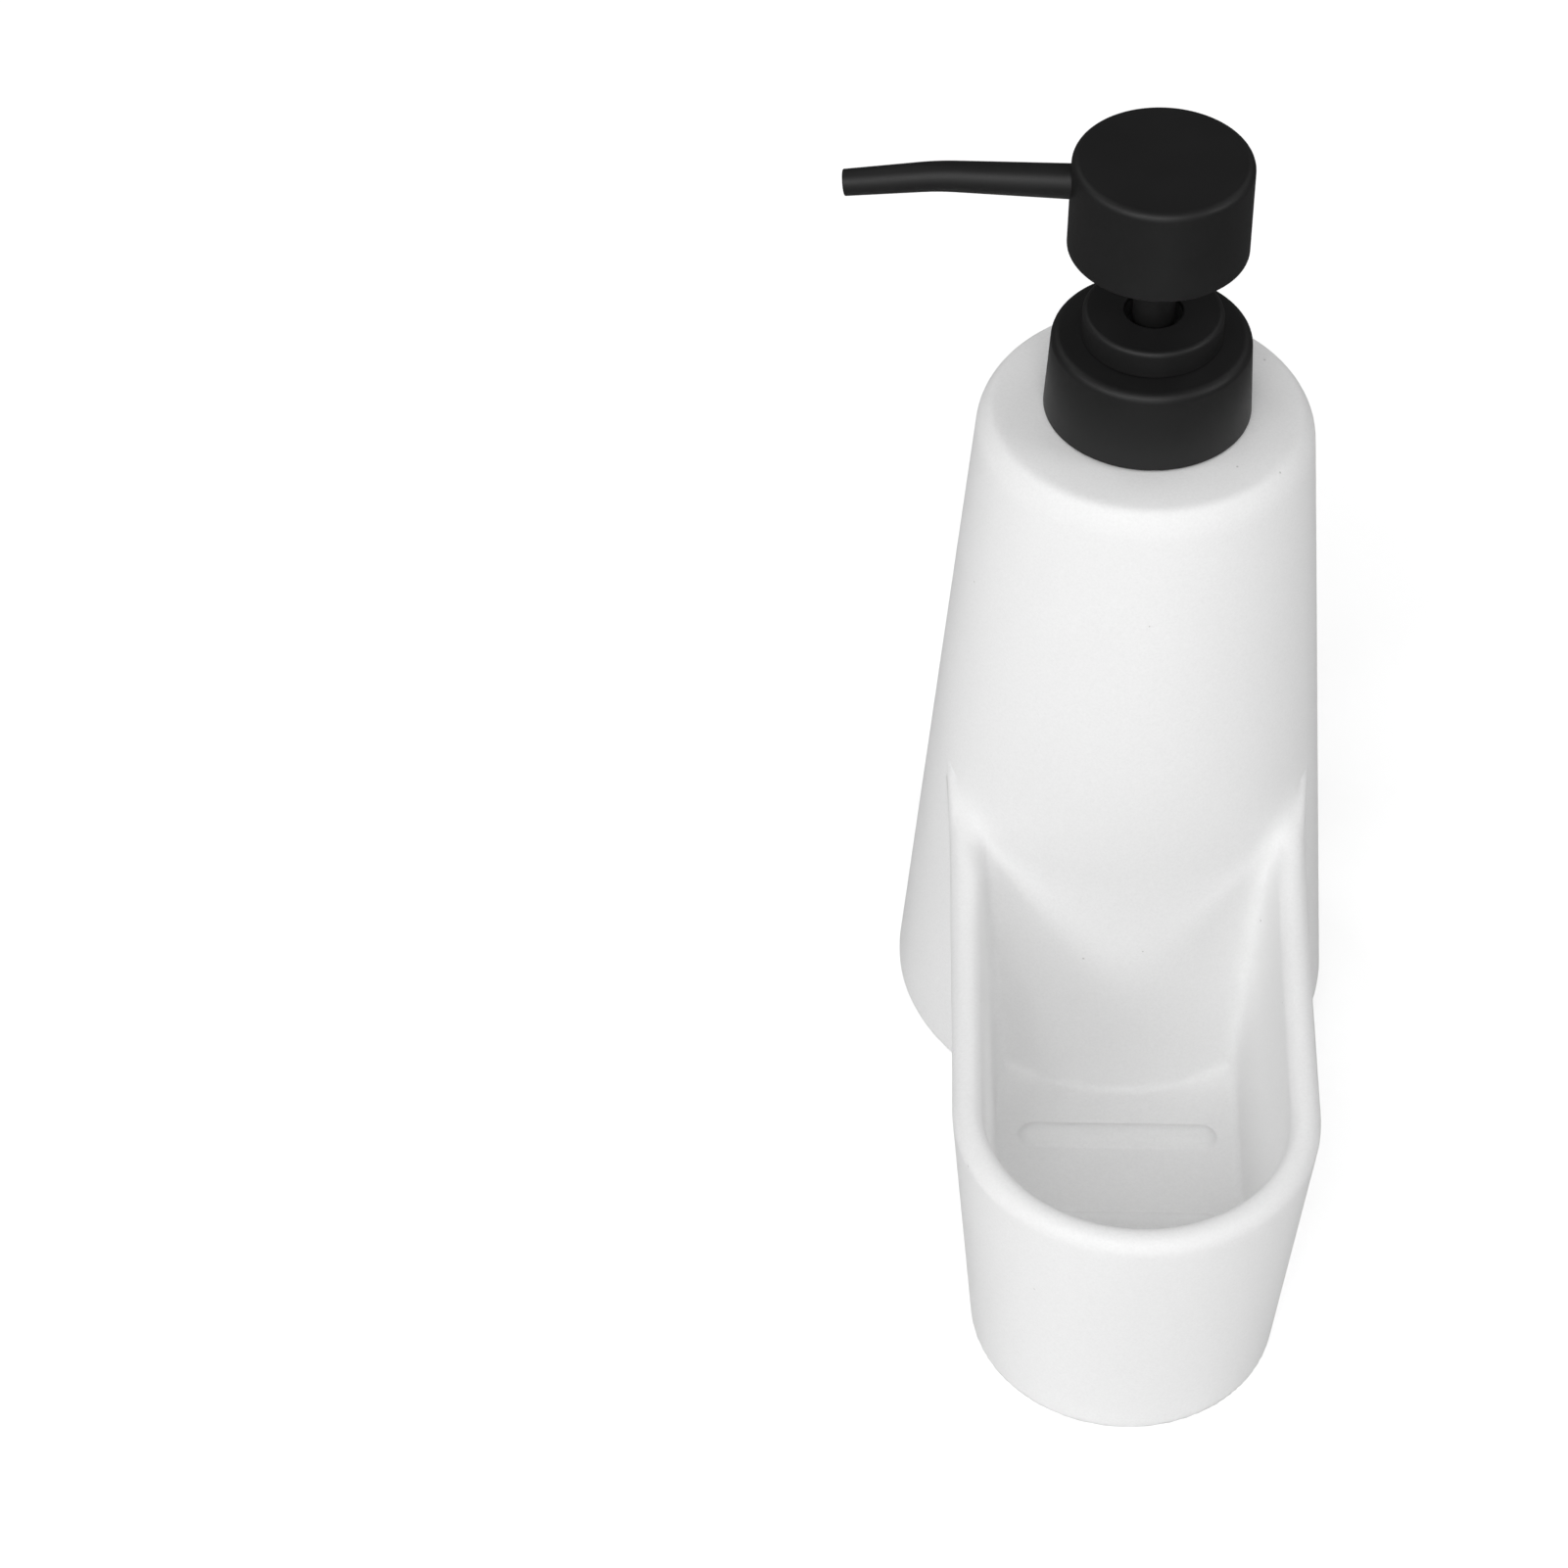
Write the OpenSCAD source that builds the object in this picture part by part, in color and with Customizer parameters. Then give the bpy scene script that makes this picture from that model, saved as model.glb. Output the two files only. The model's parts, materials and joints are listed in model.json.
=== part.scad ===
// Ceramic soap dispenser with a scrubber cup in front and a matt black lotion pump.
// The origin is the bottle's axis on the table plane. The cup reaches towards -Y, the spout points to -X.

/* [Bottle] */
// Radius of the bottle at the foot, to the sharp corner
bottle_foot_r = 39.5; // [37:0.5:46]
// Radius of the bottle at the shoulder, to the sharp corner
bottle_top_r = 28.2; // [26:0.2:34]
// Height of the shoulder above the table
bottle_h = 135.8; // [125:0.2:170]
// Thickness of the ceramic walls
wall = 5.1; // [4:0.1:6]
// Thickness of the ceramic floor
floor_t = 6.5; // [5:0.1:8]
// Rounding of the shoulder, where the wall turns inwards
shoulder_round = 8; // [7.2:0.1:10]
// Depth of that rounding's centre under the bottle's top
shoulder_depth = 6.3; // [5.5:0.1:6.8]
// Small rounding of the edge round the bottle's top
shoulder_edge_round = 0.8; // [0.4:0.1:1.2]
// Rounding of the bottle's foot
foot_round = 2; // [1:0.1:3]
// Rounding of the soap chamber at its floor
chamber_floor_round = 7; // [4:0.5:10]
// Rounding of the soap chamber under the shoulder
chamber_top_round = 6; // [3:0.5:8]
// Radius of the mouth in the shoulder
mouth_r = 12; // [11.6:0.1:13]
// Depth of the recess under the foot
foot_recess = 1; // [0.5:0.1:2]
// Width of the unglazed ring that the caddy stands on
foot_ring = 5; // [3:0.5:8]

/* [Scrubber cup] */
// Half width of the cup at the foot, to the sharp corner
cup_foot_r = 26.3; // [22:0.1:30]
// Distance from the bottle's axis to the centre of the round front
cup_reach = 84.5; // [75:0.5:95]
// Outward lean of the cup walls in degrees
cup_draft = 5.1; // [2:0.1:8]
// Height of the rim at the front
cup_h = 54.5; // [45:0.5:65]
// Radius of the long sweep of the rim up to the bottle
rim_sweep_r = 460; // [300:10:900]
// Radius of the blend from the rim into the bottle
rim_blend_r = 6; // [4:0.5:9]
// Upward turn of the rim in that blend, in degrees
blend_angle = 28; // [15:1:35]
// Rounding of the cup's foot
cup_foot_round = 1; // [0.5:0.1:2]
// Rounding between the cup's floor and its walls
cup_floor_round = 1.2; // [0.6:0.1:3]

/* [Drain ribs] */
// Number of ribs on the cup floor
rib_count = 3; // [2:1:4]
// Width of a rib
rib_w = 5.6; // [4:0.1:7]
// Height of a rib
rib_h = 1.7; // [1:0.1:2.5]
// Gap from a rib's end to the cup wall
rib_side_gap = 4; // [3:0.1:8]
// Distance from the bottle to the middle of the first rib
rib_back_gap = 11.1; // [9:0.1:16]
// Distance of the last rib beyond the centre of the round front
rib_lead = 7; // [2:0.5:9]

/* [Collar] */
// Radius of the collar at its foot
collar_foot_r = 17.5; // [17:0.1:20]
// Radius of the collar at its top
collar_top_r = 16.7; // [16.4:0.1:19]
// Height of the collar above the shoulder
collar_h = 15.5; // [14.5:0.1:20]
// Rounding of the collar's top edge
collar_round = 1.6; // [1:0.1:2.4]
// Thickness of the metal shells
shell = 0.8; // [0.5:0.05:1]
// Radius of the guide ring on the collar
guide_r = 11.75; // [11.55:0.05:12.5]
// Height of the guide ring above the collar
guide_h = 5.1; // [4:0.1:8]
// Rounding of the guide ring's top edge
guide_round = 0.9; // [0.5:0.1:1.5]
// Radius of the hole round the stem
guide_hole_r = 4.9; // [4.5:0.1:6]

/* [Head] */
// Radius of the head at its lower edge
head_r = 14.95; // [13.5:0.05:18]
// Radius of the head at its top
head_top_r = 14.85; // [13.4:0.05:17]
// Height of the head
head_h = 17.3; // [15:0.1:22]
// Rounding of the head's top edge
head_round = 1.4; // [1:0.1:2.2]
// Travel of the head when it is pressed
stroke = 12; // [8:0.5:14]
// Gap left under the head when it is pressed down
stop_gap = 1.4; // [0.8:0.1:3]
// Thickness of the head core's outer wall
core_wall = 1; // [0.8:0.05:1.4]
// Thickness of the head core's top disc
core_disc = 2; // [1.4:0.1:3]
// Thickness of the hub round the stem
core_hub_wall = 2.4; // [1.8:0.1:3]
// Number of ribs between the hub and the outer wall
core_ribs = 6; // [3:1:8]
// Thickness of those ribs
core_rib_t = 1.2; // [0.8:0.1:1.6]
// Thickness of the boss round the spout
boss_wall = 1.3; // [1:0.1:1.8]
// Radius of the channel from the stem to the spout
channel_r = 1.7; // [1.4:0.05:1.9]

/* [Spout] */
// Radius of the spout where it leaves the head
spout_r = 2.9; // [2.5:0.05:3.5]
// Radius of the spout's tip
spout_tip_r = 2.2; // [1.8:0.05:2.4]
// Thickness of the spout's wall
spout_wall = 0.5; // [0.3:0.05:0.7]
// Length of the spout, counted from the head's axis
spout_reach = 51.6; // [46:0.2:65]
// Depth of the spout's axis below the top of the head
spout_drop = 5.1; // [4.8:0.1:6]
// Place of the bend, counted from the head's axis
bend_at = 36; // [30:0.5:40]
// Length of the bend
bend_l = 6; // [4:0.5:12]
// Downward bend in degrees
bend_angle = 8.1; // [3:0.1:20]
// Turn of the spout away from -X at rest, in degrees
spout_turn = 2.7; // [-45:0.1:45]

/* [Neck adapter] */
// Radius of the threaded neck, below its thread
neck_r = 12.5; // [12.2:0.1:12.9]
// Bore of the neck
neck_bore_r = 10.2; // [10:0.1:10.8]
// Radius of the adapter's flange
flange_r = 15; // [13.5:0.1:15.8]
// Thickness of the adapter's flange
flange_t = 1.2; // [0.8:0.1:1.6]
// Length of the spigot that is bonded into the mouth
spigot_l = 9; // [6:0.5:14]
// Thickness of the seal under the flange
seal_t = 0.8; // [0.5:0.1:1.2]
// Gap for the adhesive round the spigot
bond_gap = 0.4; // [0.3:0.05:0.6]
// Number of grip rings on the spigot
grips = 3; // [2:1:4]
// Height of a grip ring
grip_h = 0.15; // [0.1:0.05:0.25]

/* [Pump] */
// Radius inside the closure's thread
cap_bore_r = 13.9; // [13.6:0.1:14.4]
// Thickness of the closure's top plate
cap_plate = 1.4; // [1:0.1:2]
// Thickness of the gasket
gasket_t = 1.2; // [0.8:0.1:1.6]
// Radius of the housing's flange
housing_flange_r = 12.3; // [11.5:0.1:12.6]
// Thickness of the housing's flange
housing_flange_t = 1.4; // [1:0.1:2]
// Radius of the housing in the neck
housing_r = 9.6; // [9:0.1:9.8]
// Depth of the wide top of the housing
housing_top_l = 10; // [8:0.5:14]
// Bore of the pump cylinder
cylinder_r = 6.2; // [5.8:0.05:6.4]
// Thickness of the housing's wall
housing_wall = 1.3; // [0.9:0.05:1.5]
// Reach of the stem's guide sleeve into the cylinder
sleeve_reach = 0.7; // [0.4:0.1:1.5]
// Thickness of the chaplet's web round the stem
chaplet_web = 3; // [2:0.1:4]
// Thickness of the chaplet's skirt
skirt_wall = 1.1; // [0.8:0.05:1.4]
// Radius of the stem
stem_r = 3.5; // [3.2:0.05:3.7]
// Bore of the stem
stem_bore_r = 1.6; // [1.3:0.05:1.8]
// Height of the bead that pushes the piston down
bead_h = 1.2; // [0.8:0.1:1.8]
// Height of the piston
piston_h = 9; // [8:0.1:11]
// Thickness of the piston's hub
hub_wall = 0.9; // [0.7:0.05:1.1]
// Thickness of the piston's lips
lip_t = 0.75; // [0.5:0.05:0.9]
// Thickness of the flange on the stem's foot
foot_flange_t = 1.4; // [1:0.1:2]
// Thickness of the pin inside the spring
foot_pin_wall = 1.7; // [1.2:0.1:2]
// Length of the return spring at rest
spring_l = 26; // [24:0.5:34]
// Thickness of the spring's wire
spring_wire = 0.9; // [0.7:0.05:1]
// Outer radius of the spring
spring_r = 5.4; // [5.2:0.05:5.5]
// Turns of the spring
spring_turns = 8; // [6:1:10]
// Radius of the inlet ball
inlet_ball_r = 2.38; // [2.2:0.02:2.5]
// Radius of the outlet ball
outlet_ball_r = 1.98; // [1.9:0.02:2.1]
// Lift of the valve balls
ball_lift = 1.2; // [0.8:0.1:1.5]
// Thickness of the ledges that hold the balls
retainer_t = 0.8; // [0.6:0.1:1.2]
// Radius of the dip tube
tube_r = 3; // [2.7:0.05:3.2]
// Bore of the dip tube
tube_bore_r = 2.1; // [1.8:0.05:2.3]
// Depth of the socket that holds the dip tube
tube_socket_l = 10; // [7:0.5:14]
// Gap between the dip tube and the chamber's floor
tube_gap = 3.5; // [2:0.5:8]
// Slant of the dip tube's cut, in degrees
tube_slant = 45; // [30:5:60]

/* [Fits] */
// Clearance between parts that move past each other
part_clear = 0.3; // [0.2:0.05:0.4]
// Running clearance of the stem, the piston and the faces that bear on each other
run_clear = 0.1; // [0.06:0.01:0.1]
// Clearance of parts that are pressed together
press_clear = 0.05; // [0.02:0.01:0.06]

/* [Hidden] */
$fn = 96;
arc_steps = 8;
wire_sides = 6;
wire_steps = 16;
spout_sides = 32;
bend_steps = 5;
tip_steps = 5;
overrun = 1;

ceramic_white = [0.94, 0.94, 0.93];
satin_black = [0.07, 0.07, 0.07];
plastic_white = [0.88, 0.88, 0.86];
plastic_black = [0.13, 0.13, 0.13];
clear_grey = [0.80, 0.83, 0.84];
seal_grey = [0.45, 0.46, 0.47];
steel_grey = [0.66, 0.67, 0.69];

// Lean of the bottle's wall, inwards with height
bottle_lean = atan((bottle_foot_r - bottle_top_r) / bottle_h);
// Radius of the bottle at height z, a given depth under its surface
function bottle_x(z, inset = 0) = bottle_foot_r - (inset + z * sin(bottle_lean)) / cos(bottle_lean);
// Half width of the cup at height z, a given depth under its surface
function cup_x(z, inset = 0) = cup_foot_r + (z * sin(cup_draft) - inset) / cos(cup_draft);
// Points of an arc round centre c
function arc(c, r, from, to, steps = arc_steps) =
    [for (i = [0:steps]) c + r * [cos(from + (to - from) * i / steps), sin(from + (to - from) * i / steps)]];

// The shoulder's large arc runs into the small one of the edge round the top
shoulder_z = bottle_h - shoulder_depth;
shoulder_x = bottle_x(shoulder_z, shoulder_round);
edge_z = bottle_h - shoulder_edge_round;
edge_rise = edge_z - shoulder_z;
edge_x = shoulder_x + sqrt(pow(shoulder_round - shoulder_edge_round, 2) - edge_rise * edge_rise);
edge_turn = atan2(edge_rise, edge_x - shoulder_x);

// The rim is as round as the wall is thick
rim_r = wall / 2;
rim_z = cup_h - rim_r;
rim_x = cup_x(rim_z, rim_r);
// The walls stand on a tray, which the swept upper part of the side walls reaches down into
tray_share = 0.85;
tray_h = cup_h * tray_share;
leg_share = 0.25;
leg = rim_z * leg_share;
// The rim's middle line meets the bottle here
meet_r = bottle_x(cup_h);
meet_y = sqrt(meet_r * meet_r - rim_x * rim_x);
// The blend starts before the bottle, turns the rim up by its angle and then runs straight into the bottle's wall
blend_lead_share = 0.65;
blend_lap = 5;
blend_r = rim_blend_r + rim_r;
sweep_angle = asin((cup_reach - meet_y - rim_blend_r * blend_lead_share) / rim_sweep_r);
run_in = wall * 3;
// Each stretch of the side wall is a little slimmer than the one that it starts in
step_in = press_clear * 2;

// Ribs on the cup floor
rib_half = cup_x(floor_t, wall) - rib_side_gap;
rib_first = bottle_x(floor_t) + rib_back_gap;
rib_step = (cup_reach + rib_lead - rib_first) / (rib_count - 1);
rib_curve_r = (rib_w * rib_w / 4 + rib_h * rib_h) / (2 * rib_h);
rib_curve_angle = asin(rib_w / 2 / rib_curve_r);
rib_sink = floor_t / 6;

// Heights of the pump's pieces, from the shoulder up
collar_low = bottle_h + part_clear;
collar_top = bottle_h + collar_h;
guide_low = collar_top + run_clear * 2;
guide_top = collar_top + guide_h;
head_low = guide_top + stop_gap + stroke;
head_top = head_low + head_h;
spout_z = head_top - spout_drop;
// From the collar's top down to the neck
cap_top = collar_top - shell;
plate_low = cap_top - cap_plate;
housing_top = plate_low - run_clear;
gasket_top = housing_top - housing_flange_t;
gasket_low = gasket_top - gasket_t;
neck_top = gasket_low - run_clear;
flange_low = bottle_h + seal_t;
flange_top = flange_low + flange_t;
cap_low = flange_top + part_clear;
spigot_r = mouth_r - bond_gap;
spigot_low = bottle_h - spigot_l;
// The housing's wide top, and the piston under it
well_r = housing_r - housing_wall;
well_floor = housing_top - housing_top_l;
sleeve_low = well_floor - sleeve_reach;
piston_top = sleeve_low - part_clear;
piston_low = piston_top - piston_h;
lip_share = 0.29;
lip_l = piston_h * lip_share;
hub_top = piston_top - lip_l;
hub_low = piston_low + lip_l;
guide_bore_r = stem_r + run_clear;
hub_r = guide_bore_r + hub_wall;
bead_r = hub_r - part_clear;
// The stem's foot and the spring under it
foot_flange_r = spring_r;
foot_flange_top = piston_low - part_clear;
foot_flange_low = foot_flange_top - foot_flange_t;
foot_socket_low = foot_flange_top - foot_flange_t / 2;
foot_pin_r = stem_bore_r + foot_pin_wall;
foot_pin_share = 0.6;
foot_pin_l = (spring_l - stroke) * foot_pin_share;
ledge = foot_flange_low - spring_l;
// The spring's end turns lie closed
spring_ends = 1.2;
spring_shut = (spring_wire + press_clear) * spring_ends;
// The inlet valve under the ledge
port_share = 0.7;
inlet_port_r = inlet_ball_r * port_share;
inlet_cage_r = inlet_ball_r + part_clear;
inlet_hole_r = inlet_ball_r - part_clear;
retainer_low = ledge - retainer_t;
inlet_rest = sqrt(inlet_ball_r * inlet_ball_r - inlet_port_r * inlet_port_r) + press_clear;
inlet_z = retainer_low - ball_lift - inlet_ball_r;
inlet_seat = inlet_z - inlet_rest;
socket_top = inlet_seat - retainer_t;
tail_low = socket_top - tube_socket_l;
socket_r = tube_r + press_clear;
tail_r = socket_r + housing_wall;
cylinder_out_r = cylinder_r + housing_wall;
tube_top = socket_top - part_clear;
tube_low = floor_t + tube_gap;
// The outlet valve in the stem's top
riser_r = outlet_ball_r + part_clear;
stem_top = spout_z - channel_r - retainer_t * 3;
outlet_z = stem_top - ball_lift - outlet_ball_r + run_clear;
outlet_rest = sqrt(outlet_ball_r * outlet_ball_r - stem_bore_r * stem_bore_r) + press_clear;
outlet_seat = outlet_z - outlet_rest;
// The chaplet, which guides the stem
sleeve_r = cylinder_r - part_clear * 2;
skirt_r = well_r - press_clear;
chaplet_head_r = guide_r - shell - press_clear;
collar_hole_r = guide_r - shell - part_clear;
chaplet_neck_r = collar_hole_r - part_clear;
recess_share = 0.8;
chaplet_recess = guide_h * recess_share;
// The inside of the head
core_low = head_low + shell;
hub_out_r = stem_r + core_hub_wall;
boss_r = min(spout_r + boss_wall, spout_drop - shell - press_clear);
spout_start = hub_out_r + core_rib_t;
bend_start = bend_at - bend_l / 2;
bend_r = bend_l * 180 / (PI * bend_angle);
tip_round = spout_wall / 2;

// Radius of the collar at height z, a given depth under its surface
function collar_x(z, inset = 0) =
    collar_foot_r - (collar_foot_r - collar_top_r) * (z - bottle_h) / collar_h - inset;
// Radius of the head at height z, a given depth under its surface
function head_x(z, inset = 0) = head_r - (head_r - head_top_r) * (z - head_low) / head_h - inset;

// Section of a wall with a round rim: distance from the sweep's centre along x, thickness along y
function rim_points(r, depth, inset = 0) =
    concat([[r + depth, inset - rim_r]],
        arc([r, 0], rim_r - inset, 270, 90, arc_steps * 2),
        [[r + depth, rim_r - inset]]);

module bottle_solid() {
    rotate_extrude()
        polygon(concat([[0, 0]],
            arc([bottle_x(foot_round, foot_round), foot_round], foot_round, -90, bottle_lean),
            arc([shoulder_x, shoulder_z], shoulder_round, bottle_lean, edge_turn),
            arc([edge_x, edge_z], shoulder_edge_round, edge_turn, 90),
            [[0, bottle_h]]));
}

module soap_chamber() {
    low = floor_t + chamber_floor_round;
    high = bottle_h - wall - chamber_top_round;
    rotate_extrude()
        polygon(concat([[0, floor_t]],
            arc([bottle_x(low, wall + chamber_floor_round), low], chamber_floor_round, -90, bottle_lean),
            arc([bottle_x(high, wall + chamber_top_round), high], chamber_top_round, bottle_lean, 90),
            [[0, bottle_h - wall]]));
    translate([0, 0, bottle_h / 2])
        cylinder(r = mouth_r, h = bottle_h);
}

// The round front of the cup: floor, wall and rim in one turned section
module cup_front() {
    base_z = cup_foot_round;
    fillet_z = floor_t + cup_floor_round;
    translate([0, -cup_reach, 0])
        rotate([0, 0, 180])
            rotate_extrude(angle = 180)
                polygon(concat([[0, 0]],
                    arc([cup_x(base_z, cup_foot_round), base_z], cup_foot_round, -90, -cup_draft),
                    arc([rim_x, rim_z], rim_r, -cup_draft, 180 - cup_draft, arc_steps * 2),
                    arc([cup_x(fillet_z, wall + cup_floor_round), fillet_z], cup_floor_round, -cup_draft, -90),
                    [[0, floor_t]]));
}

// The straight stretch behind it, up to the tray's height
module cup_tray() {
    base_z = cup_foot_round;
    fillet_z = floor_t + cup_floor_round;
    half = concat(
        arc([cup_x(base_z, cup_foot_round), base_z], cup_foot_round, -90, -cup_draft),
        [[cup_x(tray_h), tray_h], [cup_x(tray_h, wall), tray_h]],
        arc([cup_x(fillet_z, wall + cup_floor_round), fillet_z], cup_floor_round, -cup_draft, -90));
    other = [for (i = [len(half) - 1:-1:0]) [-half[i][0], half[i][1]]];
    rotate([90, 0, 0])
        translate([0, 0, wall])
            linear_extrude(cup_reach - wall)
                polygon(concat(half, other));
}

// One side wall: a long sweep, a blend and a run into the bottle, all in the leaning plane of the wall.
// Each stretch starts inside the one before it and is a little slimmer
module cup_side() {
    translate([rim_x + rim_sweep_r * sin(cup_draft), -cup_reach, rim_z + rim_sweep_r * cos(cup_draft)])
        rotate([0, 90 + cup_draft, 0]) {
            rotate_extrude(angle = sweep_angle)
                polygon(rim_points(rim_sweep_r, leg));
            rotate([0, 0, sweep_angle])
                translate([rim_sweep_r - blend_r, 0, 0]) {
                    rotate([0, 0, -blend_lap])
                        rotate_extrude(angle = blend_angle + blend_lap)
                            polygon(rim_points(blend_r, leg, step_in));
                    rotate([0, 0, blend_angle])
                        rotate([-90, 0, 0])
                            translate([0, 0, -rim_r / 3])
                                linear_extrude(run_in)
                                    polygon(rim_points(blend_r, leg, step_in * 2));
                }
        }
}

// A low bar with a domed top and round ends
module drain_rib() {
    bar = rib_half - rib_w / 2;
    middle = rib_h - rib_curve_r;
    dome = arc([0, middle], rib_curve_r, 90 - rib_curve_angle, 90);
    half = concat([[0, -rib_sink], [rib_w / 2, -rib_sink]], dome);
    rotate([90, 0, 90])
        translate([0, 0, -bar])
            linear_extrude(bar * 2)
                polygon(concat([[-rib_w / 2, -rib_sink], [rib_w / 2, -rib_sink]],
                    arc([0, middle], rib_curve_r, 90 - rib_curve_angle, 90 + rib_curve_angle, arc_steps * 2)));
    for (side = [-1, 1])
        translate([side * bar, 0, 0])
            rotate([0, 0, -90 * side])
                rotate_extrude(angle = 180)
                    polygon(half);
}

// The recess leaves a ring round the foot's edge to stand on
module foot_hollow() {
    back = bottle_foot_r - foot_round - foot_ring;
    front = cup_foot_r - cup_foot_round - foot_ring;
    translate([0, 0, -overrun]) {
        cylinder(r = back, h = foot_recess + overrun);
        translate([0, -cup_reach, 0])
            cylinder(r = front, h = foot_recess + overrun);
        translate([-front, -cup_reach, 0])
            cube([front * 2, cup_reach, foot_recess + overrun]);
    }
}

module ceramic_body() {
    color(ceramic_white)
        difference() {
            union() {
                bottle_solid();
                cup_front();
                cup_tray();
                cup_side();
                mirror([1, 0, 0])
                    cup_side();
                for (i = [0:rib_count - 1])
                    translate([0, -rib_first - i * rib_step, floor_t])
                        drain_rib();
            }
            soap_chamber();
            foot_hollow();
        }
}

// Soft ring between the shoulder and the adapter's flange
module adapter_seal() {
    color(seal_grey)
        translate([0, 0, bottle_h])
            difference() {
                cylinder(r = flange_r - part_clear, h = seal_t);
                translate([0, 0, -overrun])
                    cylinder(r = mouth_r, h = seal_t + overrun * 2);
            }
}

// Plastic neck bonded into the ceramic mouth, with grip rings on its spigot
module neck_adapter() {
    pitch = spigot_l / (grips + 1);
    lead = (neck_r - neck_bore_r) / 3;
    color(plastic_white)
        rotate_extrude()
            polygon(concat(
                [[neck_bore_r, spigot_low], [spigot_r, spigot_low]],
                [for (i = [1:grips], side = [-1:1])
                    [spigot_r + grip_h * (1 - abs(side)), spigot_low + pitch * i + grip_h * 2 * side]],
                [[spigot_r, flange_low], [flange_r, flange_low], [flange_r, flange_top],
                [neck_r, flange_top], [neck_r, neck_top - lead], [neck_r - lead / 2, neck_top],
                [neck_bore_r, neck_top]]));
}

// Screw closure, hidden in the collar
module closure_cap() {
    chamfer = collar_round / 2;
    color(plastic_black)
        rotate_extrude()
            polygon([
                [cap_bore_r, cap_low],
                [collar_x(cap_low, shell + press_clear), cap_low],
                [collar_x(cap_top - chamfer, shell + press_clear), cap_top - chamfer],
                [collar_x(cap_top, shell + press_clear) - chamfer, cap_top],
                [collar_hole_r, cap_top],
                [collar_hole_r, plate_low],
                [cap_bore_r, plate_low]]);
}

// Drawn metal sleeve that dresses the closure
module collar_shell() {
    hem = shell / 3;
    edge_z = collar_top - collar_round;
    edge = [collar_x(edge_z, collar_round), edge_z];
    color(satin_black)
        rotate_extrude()
            polygon(concat(
                [[collar_x(collar_low, shell), collar_low], [collar_x(collar_low) - hem, collar_low],
                [collar_x(collar_low), collar_low + hem]],
                arc(edge, collar_round, 0, 90),
                [[collar_hole_r, collar_top], [collar_hole_r, cap_top]],
                arc(edge, collar_round - shell, 90, 0)));
}

// Flat ring that the housing's flange is pressed down on
module gasket() {
    color(seal_grey)
        translate([0, 0, gasket_low])
            difference() {
                cylinder(r = housing_flange_r, h = gasket_t);
                translate([0, 0, -overrun])
                    cylinder(r = housing_r + press_clear, h = gasket_t + overrun * 2);
            }
}

// Pump body: flange, wide top, cylinder, valve cage and the tail that holds the dip tube
module pump_housing() {
    slope = housing_r - cylinder_out_r;
    taper = cylinder_out_r - tail_r;
    color(plastic_white)
        rotate_extrude()
            polygon([
                [housing_flange_r, housing_top],
                [housing_flange_r, gasket_top],
                [housing_r, gasket_top],
                [housing_r, well_floor - housing_wall / 2],
                [cylinder_out_r, well_floor - housing_wall / 2 - slope],
                [cylinder_out_r, retainer_low],
                [tail_r, retainer_low - taper * 2],
                [tail_r, tail_low],
                [socket_r, tail_low],
                [socket_r, socket_top],
                [inlet_port_r, socket_top],
                [inlet_port_r, inlet_seat],
                [inlet_cage_r, inlet_seat + inlet_cage_r - inlet_port_r],
                [inlet_cage_r, retainer_low],
                [inlet_hole_r, retainer_low],
                [inlet_hole_r, ledge],
                [cylinder_r, ledge],
                [cylinder_r, well_floor],
                [well_r, well_floor],
                [well_r, housing_top]]);
}

// Guide that closes the housing, stops the piston and carries the guide ring
module chaplet() {
    web_low = housing_top - chaplet_web;
    ring_top = guide_top - shell;
    color(plastic_black)
        rotate_extrude()
            polygon([
                [guide_bore_r, sleeve_low],
                [sleeve_r, sleeve_low],
                [sleeve_r, web_low],
                [skirt_r - skirt_wall, web_low],
                [skirt_r - skirt_wall, well_floor + run_clear],
                [skirt_r, well_floor + run_clear],
                [skirt_r, housing_top],
                [chaplet_neck_r, housing_top],
                [chaplet_neck_r, guide_low],
                [chaplet_head_r, guide_low],
                [chaplet_head_r, ring_top],
                [guide_hole_r, ring_top],
                [guide_hole_r, guide_top - chaplet_recess],
                [guide_bore_r, guide_top - chaplet_recess]]);
}

// Metal ring on the collar, with the hole that the stem slides through
module guide_ring() {
    lip = shell / 3;
    color(satin_black)
        rotate_extrude()
            polygon(concat(
                [[guide_r - shell, guide_low], [guide_r, guide_low]],
                arc([guide_r - guide_round, guide_top - guide_round], guide_round, 0, 90),
                arc([guide_hole_r + lip, guide_top - lip], lip, 90, 180),
                [[guide_hole_r, guide_top - shell], [guide_r - shell, guide_top - shell]]));
}

module inlet_ball() {
    color(steel_grey)
        translate([0, 0, inlet_z])
            sphere(r = inlet_ball_r);
}

// Tube down to the chamber's floor, cut on a slant so that it can't seal against it
module dip_tube() {
    color(clear_grey)
        difference() {
            translate([0, 0, tube_low])
                cylinder(r = tube_r, h = tube_top - tube_low);
            translate([0, 0, tube_low - overrun])
                cylinder(r = tube_bore_r, h = tube_top - tube_low + overrun * 2);
            translate([-tube_r, 0, tube_low])
                rotate([0, -tube_slant, 0])
                    translate([0, -tube_r * 2, -tube_r * 4])
                        cube([tube_r * 6, tube_r * 4, tube_r * 4]);
        }
}

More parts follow.
